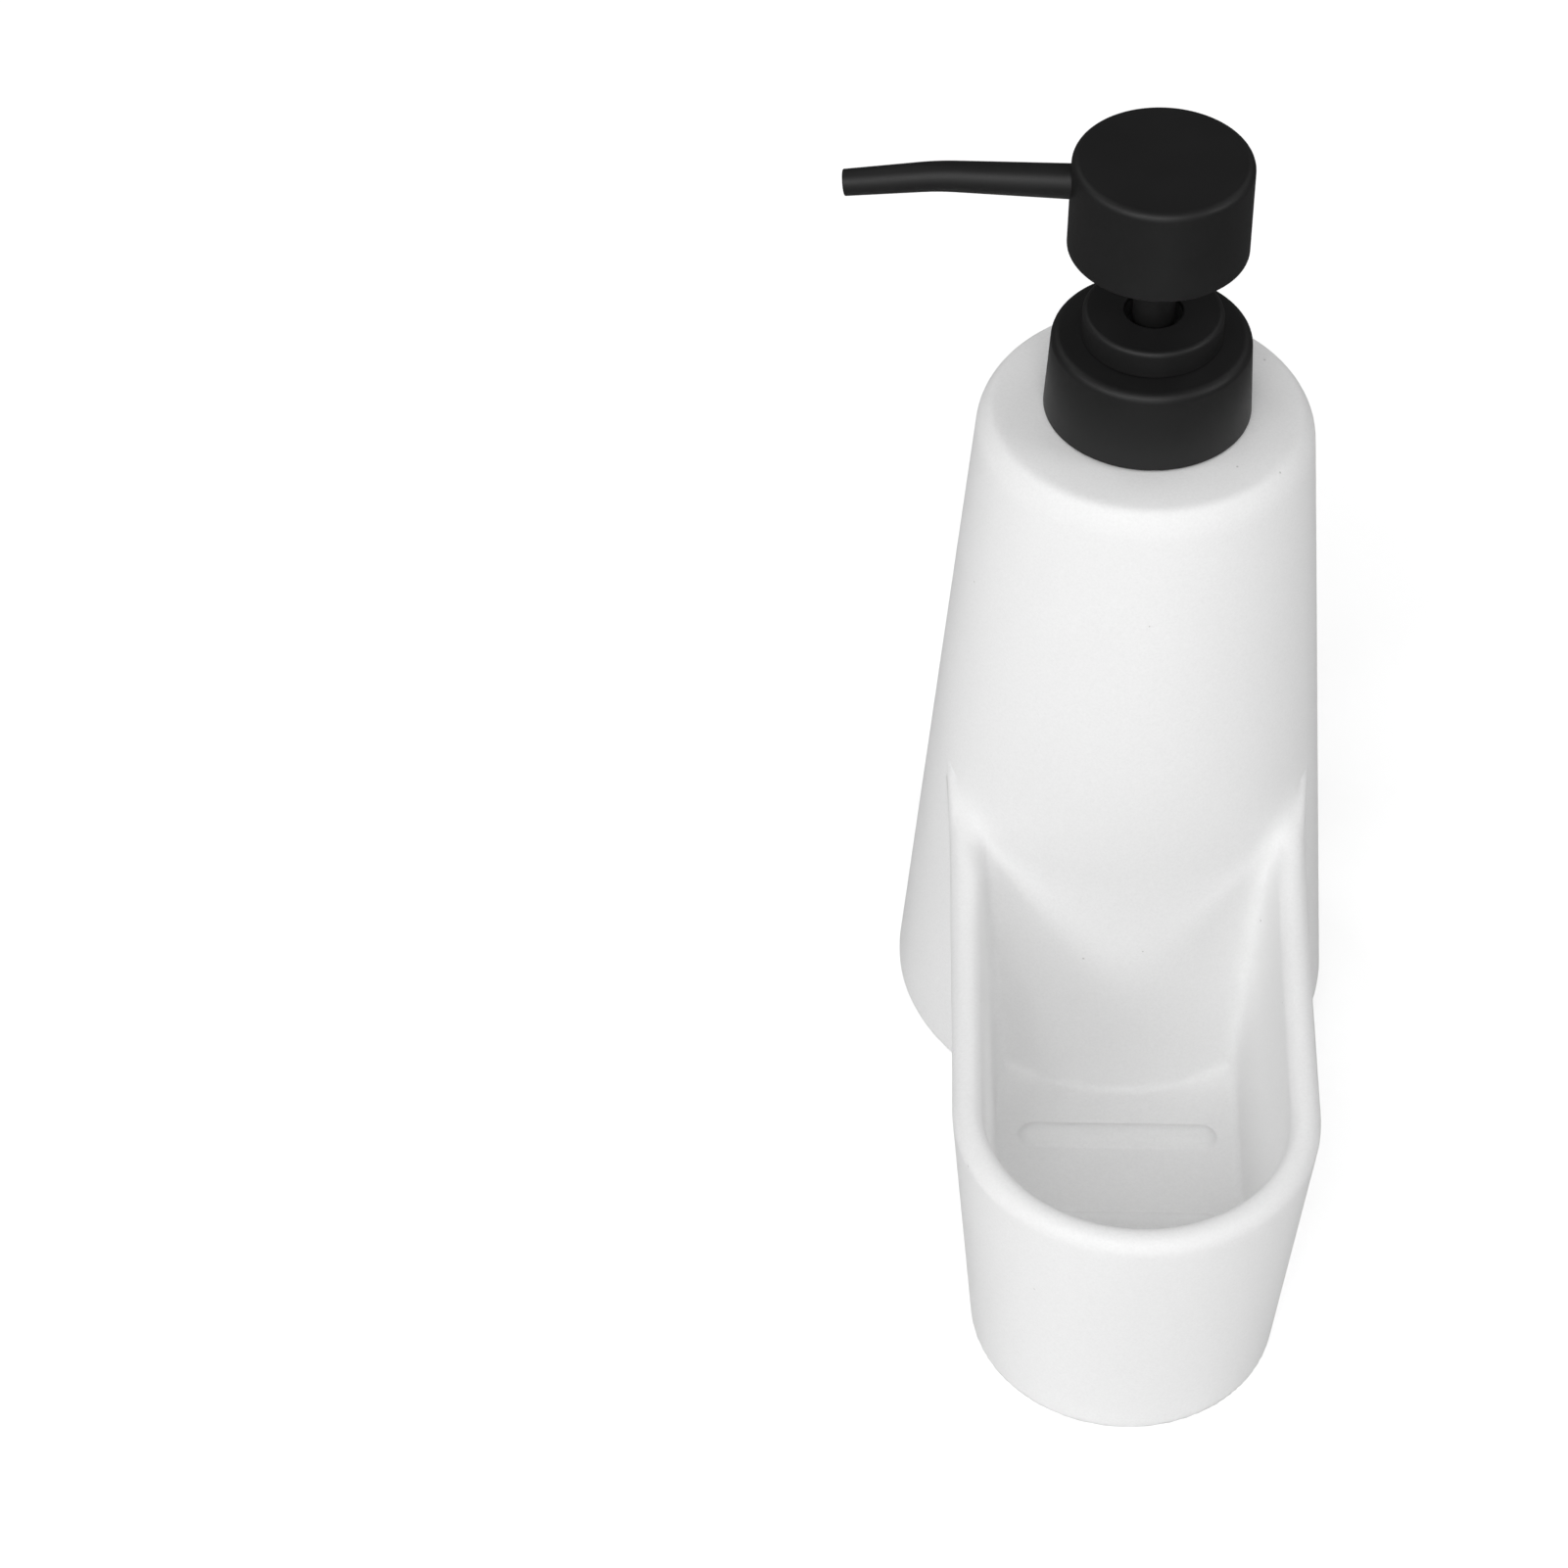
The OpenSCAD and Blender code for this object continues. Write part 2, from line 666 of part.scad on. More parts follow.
// Height of the wire along the spring: the turns between the closed ends are spread evenly
function spring_rise(turn) =
    let (low = spring_wire / 2, high = spring_l - spring_wire / 2, open = high - low - 2 * spring_shut)
    turn < spring_ends ? low + spring_shut * turn / spring_ends :
    turn > spring_turns - spring_ends ? high - spring_shut * (spring_turns - turn) / spring_ends :
    low + spring_shut + open * (turn - spring_ends) / (spring_turns - 2 * spring_ends);

// Return spring: one wire swept along the helix
module return_spring() {
    rings = spring_turns * wire_steps;
    coil_r = spring_r - spring_wire / 2;
    points = [for (i = [0:rings], k = [0:wire_sides - 1])
        let (turn = i / wire_steps, a = turn * 360, b = k * 360 / wire_sides)
        [(coil_r + spring_wire / 2 * cos(b)) * cos(a),
         (coil_r + spring_wire / 2 * cos(b)) * sin(a),
         spring_rise(turn) + spring_wire / 2 * sin(b)]];
    sides = [for (i = [0:rings - 1], k = [0:wire_sides - 1])
        let (n = (k + 1) % wire_sides, p = i * wire_sides, q = p + wire_sides)
        each [[p + k, q + k, q + n], [p + k, q + n, p + n]]];
    start = [for (k = [1:wire_sides - 2]) [0, k, k + 1]];
    last = rings * wire_sides;
    end = [for (k = [1:wire_sides - 2]) [last, last + k + 1, last + k]];
    color(steel_grey)
        translate([0, 0, ledge])
            polyhedron(points = points, faces = concat(sides, start, end));
}

// Soft piston with a wiping lip at each end
module piston_seal() {
    seal_r = cylinder_r - run_clear;
    waist_r = hub_r + (seal_r - hub_r) / 2;
    color(plastic_white)
        rotate_extrude()
            polygon([
                [guide_bore_r, hub_low],
                [hub_r, hub_low],
                [seal_r - lip_t, piston_low],
                [seal_r, piston_low],
                [seal_r, piston_low + lip_t],
                [waist_r, hub_low + lip_t],
                [waist_r, hub_top - lip_t],
                [seal_r, piston_top - lip_t],
                [seal_r, piston_top],
                [seal_r - lip_t, piston_top],
                [hub_r, hub_top],
                [guide_bore_r, hub_top]]);
}

// Foot pressed on the stem: socket, spring flange and a pin that centres the spring
module stem_foot() {
    color(plastic_white)
        rotate_extrude()
            polygon([
                [stem_bore_r, foot_flange_low - foot_pin_l],
                [foot_pin_r, foot_flange_low - foot_pin_l],
                [foot_pin_r, foot_flange_low],
                [foot_flange_r, foot_flange_low],
                [foot_flange_r, foot_flange_top],
                [bead_r, foot_flange_top],
                [bead_r, hub_low - run_clear],
                [stem_r + press_clear, hub_low - run_clear],
                [stem_r + press_clear, foot_socket_low],
                [stem_bore_r, foot_socket_low]]);
}

// Hollow stem with a bead that pushes the piston and a valve seat at its top
module stem() {
    bead_low = hub_top + run_clear;
    color(plastic_black)
        rotate_extrude()
            polygon([
                [stem_bore_r, foot_socket_low],
                [stem_r, foot_socket_low],
                [stem_r, bead_low],
                [bead_r, bead_low],
                [bead_r, bead_low + bead_h],
                [stem_r, bead_low + bead_h],
                [stem_r, stem_top],
                [riser_r, stem_top],
                [riser_r, outlet_seat + riser_r - stem_bore_r],
                [stem_bore_r, outlet_seat]]);
}

module outlet_ball() {
    color(steel_grey)
        translate([0, 0, outlet_z])
            sphere(r = outlet_ball_r);
}

// Turns its children so that +X runs along the spout, with the spout's axis at z = 0
module along_spout() {
    translate([0, 0, spout_z])
        rotate([0, 0, 180 - spout_turn])
            children();
}

// Plastic core of the head: hub, ribs, outer wall and the boss that holds the spout
module actuator_core() {
    disc_top = head_top - shell;
    disc_low = disc_top - core_disc;
    core_r = head_x(head_top, shell + press_clear);
    chamfer = head_round - shell;
    color(plastic_black)
        difference() {
            union() {
                rotate_extrude()
                    polygon([
                        [0, disc_low],
                        [core_r - core_wall, disc_low],
                        [core_r - core_wall, core_low],
                        [core_r, core_low],
                        [core_r, disc_top - chamfer],
                        [core_r - chamfer, disc_top],
                        [0, disc_top]]);
                translate([0, 0, core_low])
                    cylinder(r = hub_out_r, h = disc_low + core_disc / 2 - core_low);
                for (i = [0:core_ribs - 1])
                    rotate([0, 0, -spout_turn + i * 360 / core_ribs])
                        translate([hub_out_r - core_wall, -core_rib_t / 2, core_low + shell])
                            cube([core_r - hub_out_r + core_wall / 2, core_rib_t, disc_low - core_low]);
                along_spout()
                    rotate([0, 90, 0])
                        cylinder(r = boss_r, h = sqrt(core_r * core_r - boss_r * boss_r) - press_clear);
            }
            translate([0, 0, core_low - overrun])
                cylinder(r = stem_r + press_clear, h = stem_top + overrun - core_low);
            translate([0, 0, stem_top - overrun])
                cylinder(r = riser_r, h = spout_z + overrun - stem_top);
            along_spout()
                rotate([0, 90, 0])
                    cylinder(r = channel_r, h = head_r);
            along_spout()
                rotate([0, 90, 0])
                    translate([0, 0, spout_start])
                        cylinder(r = spout_r + press_clear, h = head_r);
        }
    // Bar that keeps the outlet ball down
    color(plastic_black)
        translate([-riser_r - core_wall / 2, -core_wall / 2, stem_top + run_clear])
            cube([riser_r * 2 + core_wall, core_wall, retainer_t]);
}

// Drawn metal cup over the core
module head_shell() {
    hem = shell / 3;
    edge_z = head_top - head_round;
    edge = [head_x(edge_z, head_round), edge_z];
    color(satin_black)
        difference() {
            rotate_extrude()
                polygon(concat(
                    [[head_x(head_low, shell), head_low], [head_x(head_low) - hem, head_low],
                    [head_x(head_low), head_low + hem]],
                    arc(edge, head_round, 0, 90),
                    [[0, head_top], [0, head_top - shell]],
                    arc(edge, head_round - shell, 90, 0)));
            along_spout()
                rotate([0, 90, 0])
                    cylinder(r = spout_r + press_clear, h = head_r + overrun);
        }
}

// Place and radius of the spout, s along its axis from the head's axis. It bends downwards over bend_l
function spout_turned(s) = bend_angle * min(1, max(0, (s - bend_start) / bend_l));
function spout_centre(s) =
    let (a = spout_turned(s), past = max(0, s - bend_start - bend_l))
    [min(s, bend_start) + bend_r * sin(a) + past * cos(a), 0, -bend_r * (1 - cos(a)) - past * sin(a)];
function spout_outer(s) = s < head_r ? spout_r :
    spout_r - (spout_r - spout_tip_r) * (s - head_r) / (spout_reach - head_r);

// Bent, tapered metal tube with a round edge at its tip
module spout_tube() {
    back = spout_start + part_clear;
    front = spout_reach - tip_round;
    bends = [for (j = [0:bend_steps]) bend_start + bend_l * j / bend_steps];
    outward = concat([back, head_r], bends, [front]);
    tip = arc([front, spout_outer(front) - tip_round], tip_round, 90, -90, tip_steps);
    rings = concat(
        [for (s = outward) [s, spout_outer(s)]],
        [for (j = [1:tip_steps - 1]) tip[j]],
        [for (i = [len(outward) - 1:-1:0]) [outward[i], spout_outer(outward[i]) - spout_wall]]);
    points = [for (ring = rings, k = [0:spout_sides - 1])
        let (a = spout_turned(ring[0]), b = k * 360 / spout_sides)
        spout_centre(ring[0]) + ring[1] * [sin(b) * sin(a), cos(b), sin(b) * cos(a)]];
    faces = [for (i = [0:len(rings) - 1], k = [0:spout_sides - 1])
        let (p = i * spout_sides, q = (i + 1) % len(rings) * spout_sides, n = (k + 1) % spout_sides)
        each [[p + k, q + n, q + k], [p + k, p + n, q + n]]];
    color(satin_black)
        along_spout()
            polyhedron(points = points, faces = faces);
}

ceramic_body();
adapter_seal();
neck_adapter();
closure_cap();
collar_shell();
gasket();
pump_housing();
chaplet();
guide_ring();
inlet_ball();
dip_tube();
return_spring();
piston_seal();
stem_foot();
stem();
outlet_ball();
actuator_core();
head_shell();
spout_tube();
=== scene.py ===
# %% [markdown]
# # A ceramic soap caddy with a black lotion pump
# The object is one ceramic casting, a tapered bottle with an open cup grown out of its front, and a
# metal-clad pump. The CAD model gives every size and every moving body, and most pieces of the pump keep
# its meshes, because they are plain turned forms. The ceramic, the spout and the spring are modelled again
# here with a softer or finer skin, and threads, finishes and light are added.

# %% Load the frame
import json
import math

import bpy
import numpy as np
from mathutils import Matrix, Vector


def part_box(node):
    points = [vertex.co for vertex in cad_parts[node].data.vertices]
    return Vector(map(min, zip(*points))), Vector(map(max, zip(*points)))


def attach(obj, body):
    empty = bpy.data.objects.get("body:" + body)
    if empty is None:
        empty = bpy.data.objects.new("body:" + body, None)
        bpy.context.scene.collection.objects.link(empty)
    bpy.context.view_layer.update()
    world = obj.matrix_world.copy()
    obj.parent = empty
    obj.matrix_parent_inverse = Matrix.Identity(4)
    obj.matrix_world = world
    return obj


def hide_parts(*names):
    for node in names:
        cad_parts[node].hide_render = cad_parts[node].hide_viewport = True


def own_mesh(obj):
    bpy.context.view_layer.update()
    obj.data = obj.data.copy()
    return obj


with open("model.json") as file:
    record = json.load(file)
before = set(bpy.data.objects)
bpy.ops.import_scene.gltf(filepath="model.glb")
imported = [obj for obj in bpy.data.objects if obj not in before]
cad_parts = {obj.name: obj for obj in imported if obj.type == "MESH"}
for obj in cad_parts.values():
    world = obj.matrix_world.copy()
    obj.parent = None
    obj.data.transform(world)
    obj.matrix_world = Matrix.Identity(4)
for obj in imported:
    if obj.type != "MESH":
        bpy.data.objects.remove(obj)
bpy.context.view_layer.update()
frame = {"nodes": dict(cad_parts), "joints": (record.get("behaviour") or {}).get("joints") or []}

# %% [markdown]
# ## Sizes and hand tools
# The object's sizes are written in millimetres, as a potter would write them, and turned into Blender's
# metres by one factor. Only the studio is measured in metres. A few small functions stand for the moves of
# the hand: draw a line of points, turn it round an axis, pull an open edge, close the skin. Corners and
# faces could be typed in as lists instead, but each of these moves can also be tried by hand in Blender.

# %% Millimetres and arcs
MM = 0.001
TINY = 1e-6


def arc(centre, radius, start, end, steps):
    """Points on an arc in a plane, angles in degrees."""
    angles = np.radians(np.linspace(start, end, steps + 1))
    return [(centre[0] + radius * math.cos(a), centre[1] + radius * math.sin(a)) for a in angles]


def in_metres(points, y=0):
    """A flat section (x, z) in millimetres as points in the plane at that y."""
    return [(x * MM, y * MM, z * MM) for x, z in points]


# %% Selecting and drawing
def edit(piece):
    """Takes the piece alone into edit mode."""
    bpy.ops.object.select_all(action="DESELECT")
    piece.select_set(True)
    bpy.context.view_layer.objects.active = piece
    bpy.ops.object.mode_set(mode="EDIT")
    bpy.ops.mesh.select_mode(type="VERT")


def select_where(test):
    """In edit mode, selects the vertices that pass a test on their place."""
    bpy.ops.mesh.select_mode(type="VERT")
    bpy.ops.mesh.select_all(action="DESELECT")
    bpy.ops.object.mode_set(mode="OBJECT")
    for vertex in bpy.context.object.data.vertices:
        vertex.select = test(vertex.co)
    bpy.ops.object.mode_set(mode="EDIT")


def draw(name, points):
    """Starts a piece as one vertex and extrudes it from point to point. The piece stays in edit mode."""
    bpy.ops.object.select_all(action="DESELECT")
    bpy.ops.mesh.primitive_plane_add(size=MM)
    piece = bpy.context.object
    piece.name = piece.data.name = name
    bpy.ops.object.mode_set(mode="EDIT")
    bpy.ops.mesh.select_mode(type="VERT")
    bpy.ops.mesh.merge(type="CENTER")
    bpy.ops.transform.translate(value=points[0])
    for here, there in zip(points, points[1:]):
        step = [b - a for a, b in zip(here, there)]
        bpy.ops.mesh.extrude_region_move(TRANSFORM_OT_translate={"value": step})
    bpy.ops.mesh.select_all(action="SELECT")
    return piece


# %% Turning, pulling and closing
def turn(steps, angle=2 * math.pi, centre=(0, 0, 0), axis=(0, 0, 1)):
    """Turns what is selected round an axis, as on a lathe."""
    bpy.ops.mesh.spin(steps=steps, angle=angle, center=centre, axis=axis)
    bpy.ops.mesh.select_all(action="SELECT")
    bpy.ops.mesh.remove_doubles(threshold=TINY)


def pull(step, times=1):
    """Extrudes what is selected, once or several times by the same step."""
    for _ in range(times):
        bpy.ops.mesh.extrude_region_move(TRANSFORM_OT_translate={"value": step})


def close():
    """Merges doubles, fills what is open, turns all faces outwards and leaves edit mode."""
    bpy.ops.mesh.select_all(action="SELECT")
    bpy.ops.mesh.remove_doubles(threshold=TINY)
    bpy.ops.mesh.fill_holes(sides=0)
    bpy.ops.mesh.select_all(action="SELECT")
    bpy.ops.mesh.normals_make_consistent(inside=False)
    bpy.ops.object.mode_set(mode="OBJECT")


def corners(piece):
    """The piece's vertices as an array in millimetres."""
    flat = np.empty(len(piece.data.vertices) * 3)
    piece.data.vertices.foreach_get("co", flat)
    return flat.reshape(-1, 3) / MM


def place_corners(piece, places):
    """Moves the piece's vertices to places in millimetres."""
    piece.data.vertices.foreach_set("co", (places * MM).ravel())
    piece.data.update()


def apply(piece, kind, name, **settings):
    """Adds a modifier, sets it and applies it."""
    bpy.ops.object.select_all(action="DESELECT")
    piece.select_set(True)
    bpy.context.view_layer.objects.active = piece
    modifier = piece.modifiers.new(name, kind)
    for key, value in settings.items():
        setattr(modifier, key, value)
    bpy.ops.object.modifier_apply(modifier=modifier.name)


def count(piece):
    """The number of triangles that the piece's faces make."""
    return sum(len(face.vertices) - 2 for face in piece.data.polygons)


# %% [markdown]
# ## The ceramic body
# On the real object the bottle and the cup are cast as one and glazed, so nearly every place where two
# forms meet is soft. The model for such a mould can be turned in pieces that are then joined. The same is
# done here: the bottle is a section turned on the lathe, the cup is a section turned halfway and pulled back
# to the bottle, and a voxel remesh makes one skin of them. The skin is then smoothed only near the joint and
# drawn back onto the clean forms everywhere else. A subdivision cage gives soft joints too, but it would
# hardly keep the cone, the leaning walls and the round rim exact.

# %% Measures of the ceramic
BOTTLE_FOOT, BOTTLE_TOP, BOTTLE_H = 39.5, 28.2, 135.8
FOOT_ROUND, SHOULDER_ROUND, SHOULDER_DEPTH, EDGE_ROUND = 2, 8, 6.3, 0.8
TOP_FALL, COLLAR_R = 0.5, 18
CUP_FOOT, CUP_H, CUP_REACH, CUP_ROUND = 26.3, 54.5, 84.5, 1
WALL, FLOOR, FLOOR_ROUND = 5.1, 6.5, 1.2
LEAN = math.atan((BOTTLE_FOOT - BOTTLE_TOP) / BOTTLE_H)
DRAFT = math.radians(5.1)
RIM_R = WALL / 2
RIM_Z = CUP_H - RIM_R


def bottle_x(z, inset=0):
    """Radius of the bottle at a height, a given depth under its surface."""
    return BOTTLE_FOOT - (inset + z * math.sin(LEAN)) / math.cos(LEAN)


def cup_x(z, inset=0):
    """Half width of the cup at a height, a given depth under its surface."""
    return CUP_FOOT + (z * math.sin(DRAFT) - inset) / math.cos(DRAFT)


# %% Turn the bottle
CONE_LOW, CONE_HIGH, EDGE_END = 4, 128, 80
lean = math.degrees(LEAN)
shoulder_z = BOTTLE_H - SHOULDER_DEPTH
shoulder_x = bottle_x(shoulder_z, SHOULDER_ROUND)
edge_z = BOTTLE_H - TOP_FALL - EDGE_ROUND
edge_x = shoulder_x + math.sqrt((SHOULDER_ROUND - EDGE_ROUND) ** 2 - (edge_z - shoulder_z) ** 2)
edge_turn = math.degrees(math.atan2(edge_z - shoulder_z, edge_x - shoulder_x))
top_fall = [(x, BOTTLE_H - TOP_FALL * ((x - COLLAR_R) / (edge_x - COLLAR_R)) ** 2)
            for x in np.linspace(edge_x - 1, COLLAR_R, 8)]
section = ([(0, 0)]
           + arc((bottle_x(FOOT_ROUND, FOOT_ROUND), FOOT_ROUND), FOOT_ROUND, -90, lean, 10)
           + [(bottle_x(z), z) for z in np.linspace(CONE_LOW, CONE_HIGH, 40)]
           + arc((shoulder_x, shoulder_z), SHOULDER_ROUND, lean, edge_turn, 12)
           + arc((edge_x, edge_z), EDGE_ROUND, edge_turn, EDGE_END, 6)
           + top_fall + [(0, BOTTLE_H)])
bottle = draw("bottle_form", in_metres(section))
turn(256)
close()
print("bottle faces:", len(bottle.data.polygons))

# %% Turn the front of the cup and pull its sides back
OUTSIDE_LOW, INSIDE_LOW, WALL_HIGH = 3, 10, 50
CUP_END, PULLS = 4, 60
draft = math.degrees(DRAFT)
rim_x = cup_x(RIM_Z, RIM_R)
fillet_z = FLOOR + FLOOR_ROUND
section = ([(0, 0)]
           + arc((cup_x(CUP_ROUND, CUP_ROUND), CUP_ROUND), CUP_ROUND, -90, -draft, 6)
           + [(cup_x(z), z) for z in np.linspace(OUTSIDE_LOW, WALL_HIGH, 24)]
           + arc((rim_x, RIM_Z), RIM_R, -draft, 180 - draft, 16)
           + [(cup_x(z, WALL), z) for z in np.linspace(WALL_HIGH, INSIDE_LOW, 20)]
           + arc((cup_x(fillet_z, WALL + FLOOR_ROUND), fillet_z), FLOOR_ROUND, -draft, -90, 6)
           + [(0, FLOOR)])
cup = draw("cup_form", in_metres(section, y=-CUP_REACH))
turn(128, angle=math.pi, centre=(0, -CUP_REACH * MM, 0))
select_where(lambda c: c.y > -CUP_REACH * MM - TINY)
bpy.ops.mesh.select_mode(type="EDGE")
pull((0, (CUP_REACH - CUP_END) / PULLS * MM, 0), times=PULLS)
close()
print("cup faces:", len(cup.data.polygons))

# %% [markdown]
# ### The rising rim
# Level round the front, the rim sweeps up along the sides on a very long radius, then blends upwards into
# the bottle. A lattice or proportional editing could lift it by eye, but the sweep is an exact arc, so
# each corner is moved by what the arc says. The walls are moved along their own lean, fully near the rim
# and not at all near the floor, so that their thickness and the round rim stay as they are.

# %% Lift the rim
SWEEP_R, BLEND_INNER, BLEND_TURN, EARLY = 460, 6, 28, 0.65
BLEND_R = BLEND_INNER + RIM_R
STILL_Z, LIFT_SPAN, FLOOR_HALF = 15, RIM_Z - 23, 15
meet = math.sqrt(bottle_x(CUP_H) ** 2 - rim_x ** 2)
sweep_end = math.asin((CUP_REACH - meet - BLEND_INNER * EARLY) / SWEEP_R)
blend_end = sweep_end + math.radians(BLEND_TURN)
sweep_y, sweep_z = SWEEP_R * math.sin(sweep_end), SWEEP_R * (1 - math.cos(sweep_end))
blend_y = sweep_y + BLEND_R * (math.sin(blend_end) - math.sin(sweep_end))
blend_z = sweep_z + BLEND_R * (math.cos(sweep_end) - math.cos(blend_end))


def rise(along):
    """Height of the rim above its level front, at a distance behind the front's centre."""
    sweep = SWEEP_R - np.sqrt(SWEEP_R ** 2 - np.clip(along, 0, sweep_y) ** 2)
    from_centre = np.clip(along, sweep_y, blend_y) - (sweep_y - BLEND_R * math.sin(sweep_end))
    blend = sweep_z + BLEND_R * math.cos(sweep_end) - np.sqrt(BLEND_R ** 2 - from_centre ** 2)
    straight = blend_z + (along - blend_y) * math.tan(blend_end)
    return np.where(along < sweep_y, sweep, np.where(along < blend_y, blend, straight))


places = corners(cup)
share = np.clip((places[:, 2] - STILL_Z) / LIFT_SPAN, 0, 1) * (np.abs(places[:, 0]) > FLOOR_HALF)
lift = rise(places[:, 1] + CUP_REACH) * share
places[:, 2] += lift
places[:, 0] += np.sign(places[:, 0]) * lift * math.tan(DRAFT)
place_corners(cup, places)
print("rim rises to", round(float(places[:, 2].max()), 1), "mm inside the bottle")

# %% Join the forms into one skin
VOXEL = 1.0
bpy.ops.object.select_all(action="DESELECT")
bottle.select_set(True)
cup.select_set(True)
bpy.context.view_layer.objects.active = bottle
bpy.ops.object.join()
clean_form = bpy.context.object
clean_form.name = "clean_form"
ceramic = clean_form.copy()
ceramic.data = clean_form.data.copy()
ceramic.name = ceramic.data.name = "ceramic_caddy"
bpy.context.scene.collection.objects.link(ceramic)
apply(ceramic, "REMESH", "one skin", mode="VOXEL", voxel_size=VOXEL * MM)
print("one skin:", count(ceramic), "triangles")

# %% [markdown]
# ### Soft joints
# Inside the cup and at the ends of the rim the glaze fills the joint with a wide, soft curve. Outside, the
# joint stays a crisp line. How soft the clay is at a point depends on how near it is to the bottle's wall
# and to the cup's wall. That weight steers the Smooth modifier, and its opposite steers a Shrinkwrap that
# puts the rest of the skin back on the clean forms, so that rim and cone keep their exact shape. A Bevel
# could round a joint as well, but it needs a clean loop of edges there, and a remeshed skin has none.

# %% Weigh the joint
BOTTLE_NEAR, WALL_NEAR, FADE = 9, 8, 5
OUTER_SKIN, SKIN_FADE, JOINT_BACK, JOINT_TOP = 1.2, 1.6, -2, 72
places = corners(ceramic)
side, height = np.abs(places[:, 0]), places[:, 2]
off_bottle = np.abs(np.hypot(places[:, 0], places[:, 1]) - bottle_x(height))
off_wall = np.abs(side - cup_x(height, RIM_R)) - RIM_R
near_bottle = np.clip((BOTTLE_NEAR - off_bottle) / FADE, 0, 1)
near_wall = np.clip((WALL_NEAR - off_wall) / FADE, 0, 1)
inner = np.clip((cup_x(height, OUTER_SKIN) - side) / SKIN_FADE, 0, 1)
soft = near_bottle * near_wall * inner * (places[:, 1] < JOINT_BACK) * (height < JOINT_TOP)
joint_group = ceramic.vertex_groups.new(name="joint")
form_group = ceramic.vertex_groups.new(name="form")
for index, weight in enumerate(soft):
    if weight > 0:
        joint_group.add([index], float(weight), "REPLACE")
    form_group.add([index], float(1 - weight), "REPLACE")
print("soft corners:", int((soft > 0).sum()))

# %% Smooth the joint and keep the forms
apply(ceramic, "SMOOTH", "even out", factor=0.5, iterations=3)
apply(ceramic, "SMOOTH", "soft joint", factor=0.5, iterations=60, vertex_group="joint")
apply(ceramic, "SHRINKWRAP", "true form", target=clean_form, vertex_group="form")
apply(ceramic, "SMOOTH", "last touch", factor=0.5, iterations=10, vertex_group="joint")
bpy.data.objects.remove(clean_form)

# %% [markdown]
# The crisp line outside is where the cup's outer face and the outer half of its rim meet the cone. The
# corners next to it are slid onto that line: each step moves them so that they lie on both forms, as far as
# the slopes of the two at that place say. The edges along the line are marked sharp. A Boolean of the two
# forms would draw the line as well, but it would leave no even mesh beside it to smooth.

# %% Draw the crisp line
SLIDE_STEPS, PROBE, OUTER_SHARE, LINE_NEAR = 4, 0.01, 0.3, 0.62


def off_cup(points):
    """Distance from the cup's outer skin, with the round rim, in millimetres."""
    rim_z = RIM_Z + rise(points[:, 1] + CUP_REACH)
    outwards = (np.abs(points[:, 0]) - cup_x(points[:, 2])) * math.cos(DRAFT) + RIM_R
    upwards = (points[:, 2] - rim_z) / math.cos(DRAFT) + (outwards - RIM_R) * math.tan(DRAFT)
    return np.where(upwards < 0, outwards, np.hypot(outwards, upwards)) - RIM_R, outwards


def off_forms(points):
    """Distances from the cup's outer skin and from the bottle's cone, side by side."""
    off_cone = np.hypot(points[:, 0], points[:, 1]) - bottle_x(points[:, 2])
    return np.stack([off_cup(points)[0], off_cone], axis=1)


places = corners(ceramic)
slid = places.copy()
for _ in range(SLIDE_STEPS):
    off = off_forms(slid)
    slopes = np.stack([(off_forms(slid + PROBE * axis) - off) / PROBE for axis in np.eye(3)], axis=2)
    across = slopes @ slopes.transpose(0, 2, 1) + TINY * np.eye(2)
    slid -= np.einsum("nij,ni->nj", slopes, np.linalg.solve(across, off[:, :, None])[:, :, 0])
off_line = np.linalg.norm(slid - places, axis=1)
outer = off_cup(slid)[1] > OUTER_SHARE * RIM_R
on_line = (off_line < LINE_NEAR * VOXEL) & outer & (slid[:, 1] < 0) & (slid[:, 2] > CUP_ROUND)
places[on_line] = slid[on_line]
place_corners(ceramic, places)
edit(ceramic)
bpy.ops.mesh.select_all(action="DESELECT")
bpy.ops.object.mode_set(mode="OBJECT")
for edge in ceramic.data.edges:
    edge.select = bool(on_line[edge.vertices[0]] and on_line[edge.vertices[1]])
bpy.ops.object.mode_set(mode="EDIT")
bpy.ops.mesh.select_mode(type="EDGE")
bpy.ops.mesh.mark_sharp()
bpy.ops.object.mode_set(mode="OBJECT")
print("corners on the crisp line:", int(on_line.sum()), "up to", round(float(places[on_line, 2].max()), 1))

# %% [markdown]
# ### Drain ribs
# Low bars with a domed top and round ends keep what lies in the cup out of the water. A small hollow curve
# at the foot lets the dome flow into the floor. One end is turned, pulled to the middle and mirrored, and
# the bars are joined to the skin by a Boolean, because they are finer than its voxels.

# %% Make the ribs
RIB_Y, SEAM = (-50.06, -70.78, -91.5), 0.02
RIB_W, RIB_H, RIB_HALF, RIB_SINK, RIB_FILLET = 5.6, 1.7, 17.76, 1, 0.8
dome_r = (RIB_W ** 2 / 4 + RIB_H ** 2) / (2 * RIB_H)
dome_z = RIB_H - dome_r
foot_x = math.sqrt((dome_r + RIB_FILLET) ** 2 - (RIB_FILLET - dome_z) ** 2)
flow = math.degrees(math.atan2(RIB_FILLET - dome_z, foot_x))
profile = ([(foot_x, -RIB_SINK)]
           + arc((foot_x, RIB_FILLET), RIB_FILLET, -90, flow - 180, 5)
           + arc((0, dome_z), dome_r, flow, 90, 8)[1:])
bar = RIB_HALF - RIB_W / 2
ribs = []
